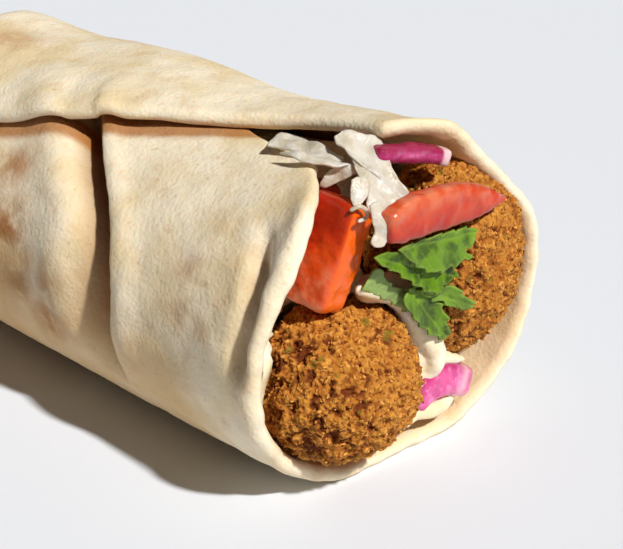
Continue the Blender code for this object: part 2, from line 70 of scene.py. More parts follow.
# The front's fold: how far behind the mouth its crest lies and how wide its valley is, in mm, by angle
FOLD_ANGLES = (20, 30, 38, 47, 56, 64, 79, 100, 120)
FOLD_CRESTS = (79, 71, 65.5, 58, 51.5, 47, 42.8, 42, 42)
FOLD_WIDTHS = (5, 7, 8.5, 9.5, 9.5, 9.5, 12, 12, 12)
FOLD_DEPTH, FOLD_WALL, FOLD_FLOOR, FOLD_EASE, FOLD_SPAN = 8 * MM, 2.6, 2.0, 6.0, (6, 34, 94, 118)
FOLD_ROW, FOLD_ROW_REACH = 58 * MM, 30 * MM
# The fold's bulges: their share of its depth, how far behind its crest they lie and how wide they are, in mm
FOLD_BULGES = ((0.16, -2.4, 4.4), (0.22, 18, 8))
# The rolled lip's height, place behind the rim and width, and where the groove lies in mm, by angle
LIP_HEIGHT, LIP_PLACE, LIP_WIDTH, LIP_SPAN = 1.3 * MM, 2.6 * MM, 3.2 * MM, (26, 44, 104, 128)
GROOVE_ANGLES = (45, 55, 65, 73, 85, 92)
GROOVE_PLACES = (11, 10, 7.2, 5.6, 5, 4.2)
GROOVE_DEPTH, GROOVE_WIDTH, GROOVE_SPAN = 3.5 * MM, 2.6, (40, 58, 84, 98)
# How much of the fold and of the groove shows on the bread's inner face
INNER_FOLD, INNER_GROOVE = 0.7, 0.5
WAVE_HEIGHT, WAVE_LENGTH, WAVE_SPAN, WAVE_START = 0.9 * MM, 11 * MM, (230, 290, 400, 440), 40 * MM


def smooth(x):
    x = np.clip(x, 0.0, 1.0)
    return x * x * (3 - 2 * x)


def window(x, rise, full, fade, gone):
    return smooth((x - rise) / (full - rise)) * (1 - smooth((x - fade) / (gone - fade)))


def bump(x, centre, width):
    return np.exp(-(((x - centre) / width) ** 2))


def rough(points, size, seed, octaves=1):
    """Noise from about -1 to 1 at each point, with lumps of the given size."""
    shift = Vector((seed * 7.3, seed * 3.1, -seed * 5.7))
    flat = np.reshape(points, (-1, 3))
    value = [noise.fractal(Vector(p / size) + shift, 0.6, 2.0, octaves) for p in flat]
    return np.reshape(value, np.shape(points)[:-1])


def eased(x, places, values, reach):
    """A table's value at x, averaged over a reach to both sides."""
    return sum(np.interp(x + reach * k, places, values) for k in (-1, -0.5, 0, 0.5, 1)) / 5


def pressed(s, start):
    """How far the wrap has changed to its pressed end, from the share of its length on."""
    return smooth((s / WRAP_LENGTH - start) / (1 - start))


def half_width(s):
    straight = MOUTH_HALF_WIDTH - NARROWING * s
    return straight + (END_HALF_WIDTH - straight) * pressed(s, WIDTH_CHANGE)


def height(s):
    flare = (MOUTH_HEIGHT - WAIST_HEIGHT) * np.exp(-np.maximum(s, 0.0) / FLARE_LENGTH)
    straight = WAIST_HEIGHT - LOWERING * s + flare
    return straight + (END_HEIGHT - straight) * pressed(s, HEIGHT_CHANGE)


def skin_outline(s):
    """The wrap's outline at s behind the mouth: y, z and the normal, at even steps."""
    t = np.linspace(0.0, 2 * math.pi, OUTLINE_POINTS)
    power = ROUNDNESS + (SHOULDER_ROUNDNESS - ROUNDNESS) * window(np.degrees(t), *SHOULDER_SPAN)
    across, up = np.abs(np.sin(t) / half_width(s)), np.abs(np.cos(t) / (height(s) / 2))
    radius = (across**power + up**power) ** (-1 / power)
    y = -radius * np.sin(t)
    z = np.maximum(height(s) / 2 + radius * np.cos(t) - FOOT_SINK * height(s) / MOUTH_HEIGHT, 0.0)
    along_y, along_z = np.gradient(y), np.gradient(z)
    normal = np.stack([along_z, -along_y]) / np.maximum(np.hypot(along_y, along_z), 1e-12)
    length = np.concatenate([[0.0], np.cumsum(np.hypot(np.diff(y), np.diff(z)))])
    even = np.linspace(0.0, length[-1], SKIN_TURNS + 1)
    return np.stack([np.interp(even, length, v) for v in (y, z, normal[0], normal[1])], axis=-1)


SKIN_ROWS = int((WRAP_LENGTH - SKIN_FIRST + 10 * MM) / SKIN_STEP) + 1
SKIN = np.array([skin_outline(SKIN_FIRST + SKIN_STEP * i) for i in range(SKIN_ROWS)])


def on_skin(s, phi, out):
    """Points of the wrap's skin at s and the angle phi, moved out along its normal."""
    row = np.clip((s - SKIN_FIRST) / SKIN_STEP, 0, SKIN_ROWS - 1.001)
    turn = np.mod(phi, 360.0)
    i, j = row.astype(int), np.minimum(turn.astype(int), SKIN_TURNS - 1)
    fi, fj = (row - i)[..., None], (turn - j)[..., None]
    near = SKIN[i, j] * (1 - fj) + SKIN[i, j + 1] * fj
    far = SKIN[i + 1, j] * (1 - fj) + SKIN[i + 1, j + 1] * fj
    y, z, ny, nz = np.moveaxis(near * (1 - fi) + far * fi, -1, 0)
    return np.stack([MOUTH_X - s, SPINE_Y + y + out * ny, z + out * nz], axis=-1)


def panel_edge(s):
    """The angle of the front panel's upper edge, which shows near the mouth."""
    return eased(s / MM, PANEL_PLACES, PANEL_ANGLES, EDGE_EASE)


def flap_edge(s):
    """The angle past 360 of the top flap's torn edge, which winds to the front as it leaves the mouth."""
    wave = np.sin(s / (4.1 * MM)) * np.sin(s / (13 * MM) + 1.0)
    torn = FLAP_TEAR * wave + FLAP_FRAY * np.sin(s / (1.7 * MM) + 2.0)
    return eased(s / MM, FLAP_PLACES, FLAP_ANGLES, EDGE_EASE) + torn


def rim(phi):
    """How far behind the mouth's plane the bread's edge lies."""
    behind = np.interp(phi, RIM_ANGLES, RIM_DEPTHS)
    for turn in (4, 8):
        beside = sum(np.interp(phi + way, RIM_ANGLES, RIM_DEPTHS) for way in (-turn, turn))
        behind = behind / 2 + beside / 4
    around = np.radians(phi)
    torn = RIM_TEAR * np.sin(around * 17) * np.sin(around * 7 + 1) + RIM_FRAY * np.sin(around * 41)
    return (behind + torn) * MM


def far_edge(phi):
    return WRAP_LENGTH + FAR_WAVE * np.sin(np.radians(2 * phi + 30)) - FAR_BACK


def fold_crest(phi):
    """How far behind the mouth the fold's crest lies: it slants back as it climbs."""
    return eased(phi, FOLD_ANGLES, FOLD_CRESTS, FOLD_EASE) * MM


def from_crest(s, phi):
    """How far behind the fold's crest a place lies, and how wide the fold's valley is there, in mm."""
    return (s - fold_crest(phi)) / MM, eased(phi, FOLD_ANGLES, FOLD_WIDTHS, FOLD_EASE)


def from_groove(s, phi):
    """How far behind the middle of the lip's groove a place lies, in mm."""
    return (s - rim(phi)) / MM - np.interp(phi, GROOVE_ANGLES, GROOVE_PLACES)


def front_relief(s, phi, outer):
    """The front's fold with its bulges, the rolled lip and its groove, as heights of a face of the bread."""
    behind, width = from_crest(s, phi)
    depth = FOLD_DEPTH * window(phi, *FOLD_SPAN)
    slope = np.exp(-((np.maximum(behind - FOLD_FLOOR, 0) / (0.75 * width)) ** 1.8))
    valley = -depth * smooth(behind / FOLD_WALL) * slope * (1 if outer else INNER_FOLD)
    bulges = sum(share * depth * bump(behind, place, wide) for share, place, wide in FOLD_BULGES)
    lip = LIP_HEIGHT * bump(s - rim(phi), LIP_PLACE, LIP_WIDTH) * window(phi, *LIP_SPAN)
    groove = -GROOVE_DEPTH * bump(from_groove(s, phi), 0.0, GROOVE_WIDTH) * window(phi, *GROOVE_SPAN)
    return valley + bulges + lip + groove * (1 if outer else INNER_GROOVE)


def top_relief(s, phi):
    """Slow waves along the back and the top, which die out towards the mouth."""
    wave = np.sin(s / WAVE_LENGTH + 0.02 * phi) * window(phi, *WAVE_SPAN)
    return WAVE_HEIGHT * wave * smooth(s / WAVE_START)


def bread_offset(s, phi, outer):
    """How far a face of the bread lies outside the skin: the flap rises over the panel that it covers."""
    over = smooth((phi - 360 - panel_edge(s) + FLAP_RISE) / FLAP_RISE_SPAN)
    below = np.maximum(front_relief(s, phi - 360, True), 0.0)
    front = front_relief(s, phi, outer) * (1 - smooth((phi - 180) / 60))
    lifted = over * (BREAD_THICKNESS + FLAP_GAP + below * smooth((phi - 330) / 20))
    return front + lifted + top_relief(s, phi) - (0.0 if outer else BREAD_THICKNESS)


def behind_mouth(share, phi):
    """How far behind the mouth's plane a share of the bread's length lies: the rows follow the fold."""
    s = rim(phi) * (1 - share) + far_edge(phi) * share
    shift = fold_crest(phi) + FOLD_WALL * MM - FOLD_ROW
    return s + shift * bump(s, FOLD_ROW, FOLD_ROW_REACH) * (1 - smooth((phi - 110) / 90))


def bread_shares(count, length, gathered):
    """Shares from 0 to 1, closer together at the gathered places and beside both ends.
    A gathered place has how much closer they are there, its share of the length and its width."""
    edge = BREAD_THICKNESS / 2 / length
    even = np.linspace(0, 1, 400)
    between = (even[1:] + even[:-1]) / 2
    closer = 1 + sum(extra * bump(between, place, width) for extra, place, width in gathered)
    along = np.concatenate([[0.0], np.cumsum(closer)])
    inner = edge + (1 - 2 * edge) * np.interp(np.linspace(0, along[-1], count - 6), along, even)
    near = np.array((0.0, 0.15, 0.5)) * edge
    return np.concatenate([near, inner, 1 - near[::-1]])


def rounded_edge(distance):
    x = np.clip(distance / (BREAD_THICKNESS / 2), 0.0, 1.0)
    return np.sqrt(1 - (1 - x) ** 2)


def keep_points(obj, name, values):
    """Keeps a number for each point of a mesh, for its material to read."""
    values = np.ravel(values).astype(np.float32)
    obj.data.attributes.new(name, "FLOAT", "POINT").data.foreach_set("value", values)


def added(name, data):
    """A new object of the scene."""
    obj = bpy.data.objects.new(name, data)
    bpy.context.scene.collection.objects.link(obj)
    return obj


def solid(name, points, faces):
    """An object of the points and faces, smooth and turned out."""
    mesh = bpy.data.meshes.new(name)
    mesh.from_pydata(np.asarray(points).tolist(), [], faces)
    bm = bmesh.new()
    bm.from_mesh(mesh)
    bmesh.ops.recalc_face_normals(bm, faces=bm.faces)
    if bm.calc_volume(signed=True) < 0:
        bmesh.ops.reverse_faces(bm, faces=bm.faces)
    bm.to_mesh(mesh)
    bm.free()
    mesh.shade_smooth()
    return added(name, mesh)


def grid_faces(index, flip=False):
    a, b, c, d = index[:-1, :-1], index[:-1, 1:], index[1:, 1:], index[1:, :-1]
    corners = (a, d, c, b) if flip else (a, b, c, d)
    return np.stack([np.ravel(k) for k in corners], axis=-1).tolist()


def colour(code):
    """A colour from its sRGB hex code."""
    parts = [int(code[i:i + 2], 16) / 255 for i in (1, 3, 5)]
    return (*[c / 12.92 if c <= 0.04045 else ((c + 0.055) / 1.055) ** 2.4 for c in parts], 1.0)


def node(tree, kind, sockets=(), **settings):
    """Adds a node. A socket is given a value, or another node's output to link."""
    made = tree.nodes.new(kind)
    for key, value in settings.items():
        setattr(made, key, value)
    for key, value in dict(sockets).items():
        if isinstance(value, bpy.types.NodeSocket):
            tree.links.new(value, made.inputs[key])
        else:
            made.inputs[key].default_value = value
    return made


def surface(name, roughness, subsurface=0.0, radius=(1.0, 0.5, 0.3), depth=1.0, more=()):
    """A material. Light enters by the subsurface share, to the depth in mm, by each colour's radius."""
    made = bpy.data.materials.new(name)
    made.use_nodes = True
    values = {"Roughness": roughness, "IOR": 1.45, "Subsurface Weight": subsurface,
              "Subsurface Radius": radius, "Subsurface Scale": depth * MM, **dict(more)}
    for key, value in values.items():
        made.node_tree.nodes["Principled BSDF"].inputs[key].default_value = value
    return made


def spots(tree, size, low, high, detail=2.0, shift=0.0):
    """Soft patches of noise of the given size in mm, from 0 below the low level to 1 above the high one."""
    place = node(tree, "ShaderNodeTexCoord").outputs["Object"]
    moved = node(tree, "ShaderNodeVectorMath", {0: place, 1: (shift * MM,) * 3}, operation="ADD")
    settings = {"Vector": moved.outputs[0], "Scale": 1 / MM / size, "Detail": detail}
    grain = node(tree, "ShaderNodeTexNoise", settings)
    levels = {"Value": grain.outputs["Fac"], "From Min": low, "From Max": high}
    return node(tree, "ShaderNodeMapRange", levels, interpolation_type="SMOOTHSTEP").outputs[0]


def share_of(tree, given):
    """A share from 0 to 1 over a surface: a number, the numbers kept by a name, or the settings of spots."""
    if isinstance(given, str):
        return node(tree, "ShaderNodeAttribute", attribute_name=given).outputs["Fac"]
    return spots(tree, *given) if isinstance(given, tuple) else given


def coats(made, base, *rows):
    """Colours a material: each row's colour covers those before it, by the product of its two shares."""
    tree = made.node_tree
    below = colour(base)
    for first, second, code in rows:
        factors = {0: share_of(tree, first), 1: share_of(tree, second)}
        share = node(tree, "ShaderNodeMath", factors, operation="MULTIPLY", use_clamp=True).outputs[0]
        colours = {0: share, 6: below, 7: colour(code)}
        below = node(tree, "ShaderNodeMix", colours, data_type="RGBA").outputs[2]
    tree.links.new(below, tree.nodes["Principled BSDF"].inputs["Base Color"])


def relief(made, *rows):
    """Gives a material bumps: each row has a share, as above, that stands for height, and a depth in mm."""
    tree, normal = made.node_tree, None
    for given, depth in rows:
        sockets = {"Height": share_of(tree, given), "Distance": depth * MM, "Strength": 1.0}
        if normal:
            sockets["Normal"] = normal
        normal = node(tree, "ShaderNodeBump", sockets).outputs[0]
    tree.links.new(normal, tree.nodes["Principled BSDF"].inputs["Normal"])


def finish_piece(obj, made, slot, *nodes):
    obj.data.materials.clear()
    obj.data.materials.append(made)
    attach(obj, "root")
    if nodes:
        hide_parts(*nodes)


u = bread_shares(BREAD_ROWS, WRAP_LENGTH, ((1.2, 0.04, 0.1), (1.6, 0.31, 0.08)))
v = bread_shares(BREAD_COLUMNS, ROUND_LENGTH, ((0.5, 0.15, 0.12),))
uu, vv = np.meshgrid(u, v, indexing="ij")
start = panel_edge(behind_mouth(uu, PANEL_ANGLES[0]))
phi = start + vv * (360 + flap_edge(behind_mouth(uu, 360.0)) - start)
s = behind_mouth(uu, phi)
to_row_edge, to_side_edge = np.minimum(uu, 1 - uu) * WRAP_LENGTH, np.minimum(vv, 1 - vv) * ROUND_LENGTH
thick = rounded_edge(np.minimum(to_row_edge, to_side_edge))
outer, inner = bread_offset(s, phi, True), bread_offset(s, phi, False)
middle = (outer + inner) / 2
sheet = on_skin(s, phi, outer)
lumps = 0.3 * rough(sheet, 9 * MM, 3, 2) + 0.05 * rough(sheet, 2.6 * MM, 5)
top_face = on_skin(s, phi, middle + (outer - middle + lumps * MM) * thick)
top_face[..., 2] = np.maximum(top_face[..., 2], 0.0)
under = 0.2 * rough(sheet, 5 * MM, 8, 2)
low_face = on_skin(s, phi, middle + (inner - middle + under * MM) * thick)
on_border = np.zeros(uu.shape, bool)
on_border[[0, -1], :] = True
on_border[:, [0, -1]] = True
upper = np.arange(uu.size).reshape(uu.shape)
lower = upper.copy()
lower[~on_border] = uu.size + np.arange((~on_border).sum())
bread_points = np.concatenate([top_face.reshape(-1, 3), low_face[~on_border]])
bread = solid("flatbread_baked", bread_points, grid_faces(upper) + grid_faces(lower, True))

# Toasted blisters where the bread met the plate hardest: how far behind the mouth in mm, the angle, the
# radius in mm and the strength of each
BLISTERS = (
    (86, 55, 5.4, 0.8), (81.5, 74, 6.5, 0.9), (73, 84, 4, 0.5), (76, 92, 6, 0.7), (64.5, 88, 5, 0.6),
    (66, 101, 6, 0.8), (96, 66, 6, 0.8), (92, 84, 7, 0.8), (23, 64.5, 3.2, 0.45),
    (22.5, 77, 3.2, 0.45), (15.5, 80.5, 2.6, 0.4), (112, 58, 6, 0.7), (128, 74, 7, 0.8),
    (150, 60, 6, 0.7), (120, 368, 7, 0.5), (146, 345, 8, 0.6), (100, 330, 6, 0.5), (60, 250, 7, 0.7),
    (104, 268, 8, 0.7), (140, 240, 7, 0.6),
)
MM_A_DEGREE, BLISTER_RAGGED, UNDERSIDE_SHARE = 0.66, 0.35, 0.2
behind_crest, valley_width = from_crest(s, phi)
valley_end = smooth((behind_crest - 0.5 * valley_width) / (0.9 * valley_width))
# Painted shade: the fold's valley and the lip's groove are coloured brown where shade falls in them
fold = smooth((behind_crest + 0.3) / 1.2) * (1 - valley_end) * window(phi, 6, 30, 88, 112)
groove = 0.45 * bump(from_groove(s, phi), 0.4, 2.0) * window(phi, 46, 60, 84, 98)
# Painted shadow: a brown band on the front panel just below the top flap's edge, where the flap shades it
crease = window(phi - flap_edge(s), -9.0, -6.0, 3.0, 7.0) * (phi < 150) * smooth((s / MM - 12) / 8)
blisters = np.zeros(uu.shape)
for behind, angle, radius, strength in BLISTERS:
    apart = np.hypot(s / MM - behind, (phi - angle) * MM_A_DEGREE)
    ragged = BLISTER_RAGGED * radius * rough(sheet, radius * MM, int(behind), 2)
    blisters = np.maximum(blisters, strength * bump(apart + ragged, 0.0, radius))
# The far part is tinted tan, and so is the bread towards the bottom, a little less
far_along = smooth((s / MM - 58) / 30) * window(phi, 64, 100, 150, 260)
low_down = window(phi, 76, 104, 130, 160) * smooth((s / MM - 10) / 20)
painted = {"cavity": np.maximum(fold, groove), "crease": crease, "blister": blisters,
           "far": np.maximum(far_along, 0.6 * low_down)}
for name, values in painted.items():
    keep_points(bread, name, np.concatenate([values.ravel(), (values * UNDERSIDE_SHARE)[~on_border]]))
keep_points(bread, "inside", np.concatenate([np.zeros(uu.size), np.ones((~on_border).sum())]))
keep_points(bread, "crumb", np.concatenate([(1 - thick).ravel(), (1 - thick)[~on_border]]))

# Dry baked bread: matt and floury, cream where it is pale, light tan where it is dry, tan on the far part
# and towards the bottom, and brown where it met the plate. Painted brown shade lies in the fold's valley and
# the lip's groove, and a painted brown shadow in a band on the front panel below the top flap's edge.
baked = surface("baked_flatbread", 0.85, 0.3, (1.0, 0.55, 0.25), 2.5, {"Specular IOR Level": 0.25})
coats(baked, "#f2e2c4",
      ((22, 0.4, 0.62), 1, "#e6cfa4"), ("far", 0.75, "#cf9f62"), ((5, 0.5, 0.72, 4), 0.25, "#cfa76c"),
      ((1.6, 0.6, 0.74, 3, 30), 0.3, "#b98a4e"), ("blister", (4, 0.22, 0.52, 4, 9), "#a8682a"),
      ("cavity", 0.85, "#8a4c10"), ("crease", 0.85, "#a5651f"), ("inside", 0.5, "#d6ae76"),
      ("crumb", 0.5, "#f9ecd0"))
relief(baked, ((3.0, 0.3, 0.7, 4.0), 0.07), ((0.9, 0.3, 0.7, 2.0), 0.07))
finish_piece(bread, baked, "flatbread", "flatbread")

# Falafels: two balls of ground chickpeas and herbs, shaped by hand and fried until the crust is brown.
# The crust is a mass of small crumbs, with pits where some fell out and cracks where the ball swelled.
# They stand in the mouth side by side, pressed into the bread.
FRONT_BALL = ((-3, -16.6, 24), (16.5, 18.4, 16.8))
BACK_BALL = ((-6.8, 20.4, 39.2), (16, 18.4, 23))
CRAG, CLEARANCE, BALL_CUTS = 0.75, 0.5 * MM, 84
WALL_TURNS = np.arange(0.0, 360.0, 4.0)
REACH_FIRST, REACH_LAST = -70, 20
# The crust's forms: their sizes in mm, and then how far they rise or sink in mm
CRUMB_SIZE, FINE_SIZE, GRAIN_SIZE, CRACK_SIZE, PIT_SIZE, PORE_SIZE = 2.3, 1.15, 1.0, 6.4, 2.8, 0.85
CRUMB_RISE, FINE_RISE, GRAIN_RISE, CRACK_SINK, PIT_SINK, PORE_SINK = 0.75, 0.42, 0.35, 0.6, 0.8, 0.4
CRUMB_DENSITY, CRUMB_RADIUS, CRUMB_SPREAD = 3.0e5, 0.4 * MM, 0.35 * MM


def sauce_wall(s, phi, room):
    """Points inside the bread, with some room to its inner face."""
    front = np.where(phi < 180, phi, phi - 360)
    fold = 0.8 * FOLD_DEPTH * window(s, 28 * MM, 44 * MM, 76 * MM, 94 * MM) * window(front, 0, 24, 98, 124)
    beside_lip = window(s, -8 * MM, -2 * MM, 12 * MM, 24 * MM) * window(front, 24, 44, 90, 108)
    inward = fold + 0.65 * GROOVE_DEPTH * beside_lip + BREAD_THICKNESS + room
    return on_skin(s, phi, np.minimum(top_relief(s, phi), 0.0) - inward)


def from_mouth(points):
    """Places given in mm from the mouth's plane, the wrap's spine and the ground, in metres."""
    return np.asarray(points, float) * MM + np.array([MOUTH_X, SPINE_Y, 0.0])


def bread_reach(x):
    """The bread's inner face at x mm: its middle's height, and its distance from there by angle."""
    behind = np.full(len(WALL_TURNS), -x * MM)
    wall = on_skin(behind, WALL_TURNS, bread_offset(behind, WALL_TURNS, False) - CLEARANCE)
    middle = height(-x * MM) / MM / 2
    wall_y, wall_z = (wall[:, 1] - SPINE_Y) / MM, wall[:, 2] / MM - middle
    return middle, np.arctan2(wall_y, wall_z), np.hypot(wall_y, wall_z)


REACH = [bread_reach(x) for x in range(REACH_FIRST, REACH_LAST + 1)]


def inside_bread(points):
    """Presses points in mm that lie beyond the bread's inner face back to that face."""
    pressed = np.array(points, float)
    for i, (x, y, z) in enumerate(pressed):
        middle, angle, reach = REACH[int(np.clip(round(x) - REACH_FIRST, 0, len(REACH) - 1))]
        limit = np.interp(math.atan2(y, z - middle), angle, reach, period=2 * math.pi)
        share = min(1.0, limit / max(math.hypot(y, z - middle), 1e-6))
        pressed[i] = x, y * share, middle + (z - middle) * share
    return pressed


def round_grid(cuts):
    """The points and faces of a ball of radius 1: a cube cut into a grid and blown round."""
    bm = bmesh.new()
    bmesh.ops.create_cube(bm, size=2.0)
    bmesh.ops.subdivide_edges(bm, edges=bm.edges, cuts=cuts, use_grid_fill=True)
    points = np.tan(np.array([v.co[:] for v in bm.verts]) * math.pi / 4)
    faces = [[v.index for v in f.verts] for f in bm.faces]
    bm.free()
    return points / np.linalg.norm(points, axis=1, keepdims=True), faces


def cells(points, size, seed):
    """The distances to the nearest two of scattered centres, in cells of the given size."""
    shift = Vector((seed * 3.7, -seed * 1.9, seed * 5.3))
    near = [noise.voronoi(Vector(p) / size + shift)[0][:2] for p in points]
    return np.array(near).T


BALL_POINTS, BALL_FACES = round_grid(BALL_CUTS)


def fried_ball(name, ball, seed):
    """A ball whose crust rises in crumbs and sinks in pits and cracks. It keeps them for its painted
    highlight and shade.
    """
    centre, radii = ball
    out = BALL_POINTS
    lump = 1.2 * rough(out, 1 / 1.6, seed) + 1.5 * rough(out, 1 / 6.5, seed + 3)
    rise = CRAG * np.clip(lump, -1.5, 1.0)
    place = out * np.array(radii)
    bent = place + np.stack([0.8 * rough(place, 1.7, seed + k, 2) for k in (20, 21, 22)], axis=-1)
    nearest, _ = cells(bent, CRUMB_SIZE, seed)
    fine, _ = cells(bent, FINE_SIZE, seed + 5)
    crumbs = CRUMB_RISE * (0.5 - nearest) + FINE_RISE * (0.5 - fine)
    crumbs += GRAIN_RISE * rough(place, GRAIN_SIZE, seed + 17, 2)
    wide, wide_second = cells(place + 0.9 * rough(place, 2.5, seed + 7)[:, None], CRACK_SIZE, seed + 9)
    crack = bump(wide_second - wide, 0.0, 0.07) * smooth(rough(place, 9.0, seed + 11) * 2.2 + 0.2)
    level = 0.16 + 0.36 * smooth((out[:, 1] + 0.75) / 0.8)
    pit = smooth((rough(bent, PIT_SIZE, seed + 13, 2) - level) / 0.2)
    pores = smooth((rough(place, PORE_SIZE, seed + 25) - 0.28) / 0.2)
    detail = crumbs - CRACK_SINK * crack - PIT_SINK * pit - PORE_SINK * pores
    points = centre + out * (np.array(radii) + (rise + detail)[:, None])
    ball = solid(name, from_mouth(inside_bread(points)), BALL_FACES)
    # The crumbs' heights carry a painted highlight on the tips, and the pits, cracks and pores painted shade
    keep_points(ball, "height", np.clip(0.52 + 0.85 * detail + 0.12 * rise, 0, 1))
    keep_points(ball, "pit", np.clip(crack + pit + 0.6 * pores, 0, 1))
    return ball


def crumb_scatter(made, spread):
    """Nodes that scatter small rough crumbs over a surface, half sunk into it."""
    tree = bpy.data.node_groups.new("crumb_scatter", "GeometryNodeTree")
    kinds = {"Geometry": "Geometry", "Crumbs per m2": "Float", "Crumb radius": "Float", "Seed": "Int"}
    for name, kind in kinds.items():
        tree.interface.new_socket(name, in_out="INPUT", socket_type="NodeSocket" + kind)
    tree.interface.new_socket("Geometry", in_out="OUTPUT", socket_type="NodeSocketGeometry")
    given = node(tree, "NodeGroupInput").outputs
    where = {"Mesh": given[0], "Density": given[1], "Seed": given[3]}
    dots = node(tree, "GeometryNodeDistributePointsOnFaces", where)
    crumb = node(tree, "GeometryNodeMeshIcoSphere", {"Radius": given[2], "Subdivisions": 2})
    turns = {"Max": (6.3, 6.3, 6.3), "Seed": 5}
    turn = node(tree, "FunctionNodeRandomValue", turns, data_type="FLOAT_VECTOR")
    sizes = {"Min": (0.4, 0.35, 0.3), "Max": (1.6, 1.1, 0.7), "Seed": 9}
    size = node(tree, "FunctionNodeRandomValue", sizes, data_type="FLOAT_VECTOR")
    laid = node(tree, "GeometryNodeInstanceOnPoints", {
        "Points": dots.outputs["Points"], "Instance": crumb.outputs["Mesh"],
        "Rotation": turn.outputs[0], "Scale": size.outputs[0]})
    real = node(tree, "GeometryNodeRealizeInstances", {"Geometry": laid.outputs[0]})
    grain = node(tree, "ShaderNodeTexNoise", {"Scale": 0.5 / spread, "Detail": 2.0})
    from_middle = {0: grain.outputs["Color"], 1: (0.5, 0.5, 0.5)}
    way = node(tree, "ShaderNodeVectorMath", from_middle, operation="SUBTRACT")
    shift = node(tree, "ShaderNodeVectorMath", {0: way.outputs[0], "Scale": 4 * spread}, operation="SCALE")
    moved = node(tree, "GeometryNodeSetPosition", {"Geometry": real.outputs[0], "Offset": shift.outputs[0]})
    covered = node(tree, "GeometryNodeSetMaterial", {"Geometry": moved.outputs[0], "Material": made})
    node(tree, "NodeGroupOutput", {0: covered.outputs[0]})
    return tree


def worked_out(obj):
    """A new mesh of the object with its modifiers applied."""
    return bpy.data.meshes.new_from_object(obj.evaluated_get(bpy.context.evaluated_depsgraph_get()))


def scattered(name, base, tree, density, radius, seed):
    """The mesh that a scatter makes on the base, as an object of its own."""
    modifier = base.modifiers.new("scatter", "NODES")
    modifier.node_group = tree
    inputs = {item.name: item.identifier for item in tree.interface.items_tree if item.in_out == "INPUT"}
    modifier[inputs["Crumbs per m2"]] = float(density)
    modifier[inputs["Crumb radius"]] = float(radius)
    modifier[inputs["Seed"]] = seed
    mesh = worked_out(base)
    base.modifiers.remove(modifier)
    mesh.name = name
    mesh.shade_smooth()
    return added(name, mesh)


# Fried chickpea crust: dry and dull brown, with a painted highlight that turns the crumbs' tips golden and
# painted shade that turns the pits, cracks and pores near black, a few flecks of herb and a faint oily sheen
crust = surface("fried_crust", 0.8, 0.05, (1.0, 0.4, 0.15), 0.6, {"Specular IOR Level": 0.3})
coats(crust, "#964e0c",
      ("height", 1, "#dc983a"), ((7, 0.45, 0.7, 3.0), 0.4, "#ac5e10"),
      ((1.1, 0.55, 0.7, 3), 0.5, "#eeb45e"), ((0.9, 0.56, 0.66, 3, 40), 0.75, "#6a2a06"),
      ("pit", 0.75, "#5a1e04"), ((3.2, 0.76, 0.78, 0.0, 90.0), 0.7, "#7a6c1a"))
relief(crust, ((0.8, 0.3, 0.7, 3.0), 0.22))

# Loose crumbs of the crust: the same dry brown, a little lighter
loose = surface("crust_crumbs", 0.85)
coats(loose, "#9a520c", ((1.6, 0.35, 0.65), 1, "#e29e42"))

scatter = crumb_scatter(loose, CRUMB_SPREAD)
for name, ball, seed in (("falafel_front", FRONT_BALL, 2.7), ("falafel_back", BACK_BALL, 6.1)):
    fried = fried_ball(name + "_crust", ball, seed)
    crumbs = scattered(name + "_crumbs", fried, scatter, CRUMB_DENSITY, CRUMB_RADIUS, int(seed * 10))
    finish_piece(fried, crust, "falafel", name)
    finish_piece(crumbs, loose, "falafel")

# Tahini sauce: ground sesame thinned with water and lemon, spooned in before rolling. It fills the wrap
# between the balls and the bread, and shows at the mouth as a thick cream that clings to the front ball.
SAUCE_FRONT, SAUCE_BACK, SAUCE_TOP, SAUCE_END = 3.6, 10.6, 30.0, 150.0
CRATER_ROOM, SAUCE_ROOM = 1.0, 0.8 * MM
SAUCE_SIDES, SAUCE_RINGS, SAUCE_STEPS = 120, 44, 50
SAUCE_LUMP, SAUCE_LUMP_SIZE = 1.6, 6.0
CREAM_VOXEL, CREAM_ROUNDS = 0.4, 8
# The cream's strands: places along each, with its radius there, in mm
CREAM = (
    ((1.2, -14.4, 45.4, 1.2), (1.2, -10, 43.4, 1.5), (1.1, -6.1, 41.2, 1.7), (1, -2.9, 38.6, 1.9),
     (1, 0.4, 34.6, 2.1), (1, 3.4, 30.4, 2.3), (1.8, 6.4, 26.8, 2.7), (2.2, 8, 23.2, 2.7),
     (1.8, 8.2, 19.8, 2.3), (0.8, 7.1, 17.6, 1.9)),
    ((-1.6, -9, 43, 3), (-1.8, -1, 40, 3.4), (-1.8, 4.4, 33, 3.6), (-1.6, 6, 25, 3.6),
     (-1.2, 4.4, 17.8, 2.8)),
    ((0.8, 8.4, 21, 1.9), (1.4, 12.7, 19.8, 1.5), (1.4, 15.4, 18.4, 1.4), (1.2, 18.1, 17.2, 1)),
    ((1, -0.4, 8.6, 1.3), (1.2, 3.4, 9.4, 1.6), (1.2, 7, 9, 1.9), (0.8, 11, 8.4, 2.2),
     (0.2, 15, 8.8, 1.9), (-0.4, 18, 9.8, 1.2)),
)


def behind_ball(ball, y, z):
    """How far behind the mouth's plane the back of a ball lies at y and z."""
    (x, y0, z0), (rx, ry, rz) = ball
    reach = CRAG + CRATER_ROOM
    inside = 1 - ((y - y0) / (ry + reach)) ** 2 - ((z - z0) / (rz + reach)) ** 2
    return -x + (rx + reach) * np.sqrt(np.maximum(inside, 0.0)) - 60.0 * np.maximum(-inside - 0.25, 0.0)


def sauce_depth(y, z):
    """How far behind the mouth's plane the sauce begins at y and z, all in mm."""
    base = SAUCE_FRONT + (SAUCE_BACK - SAUCE_FRONT) * smooth((y + 3) / 12)
    base = base + (SAUCE_TOP - base) * smooth((z - 34) / 12)
    return np.maximum(base, np.maximum(behind_ball(FRONT_BALL, y, z), behind_ball(BACK_BALL, y, z)))


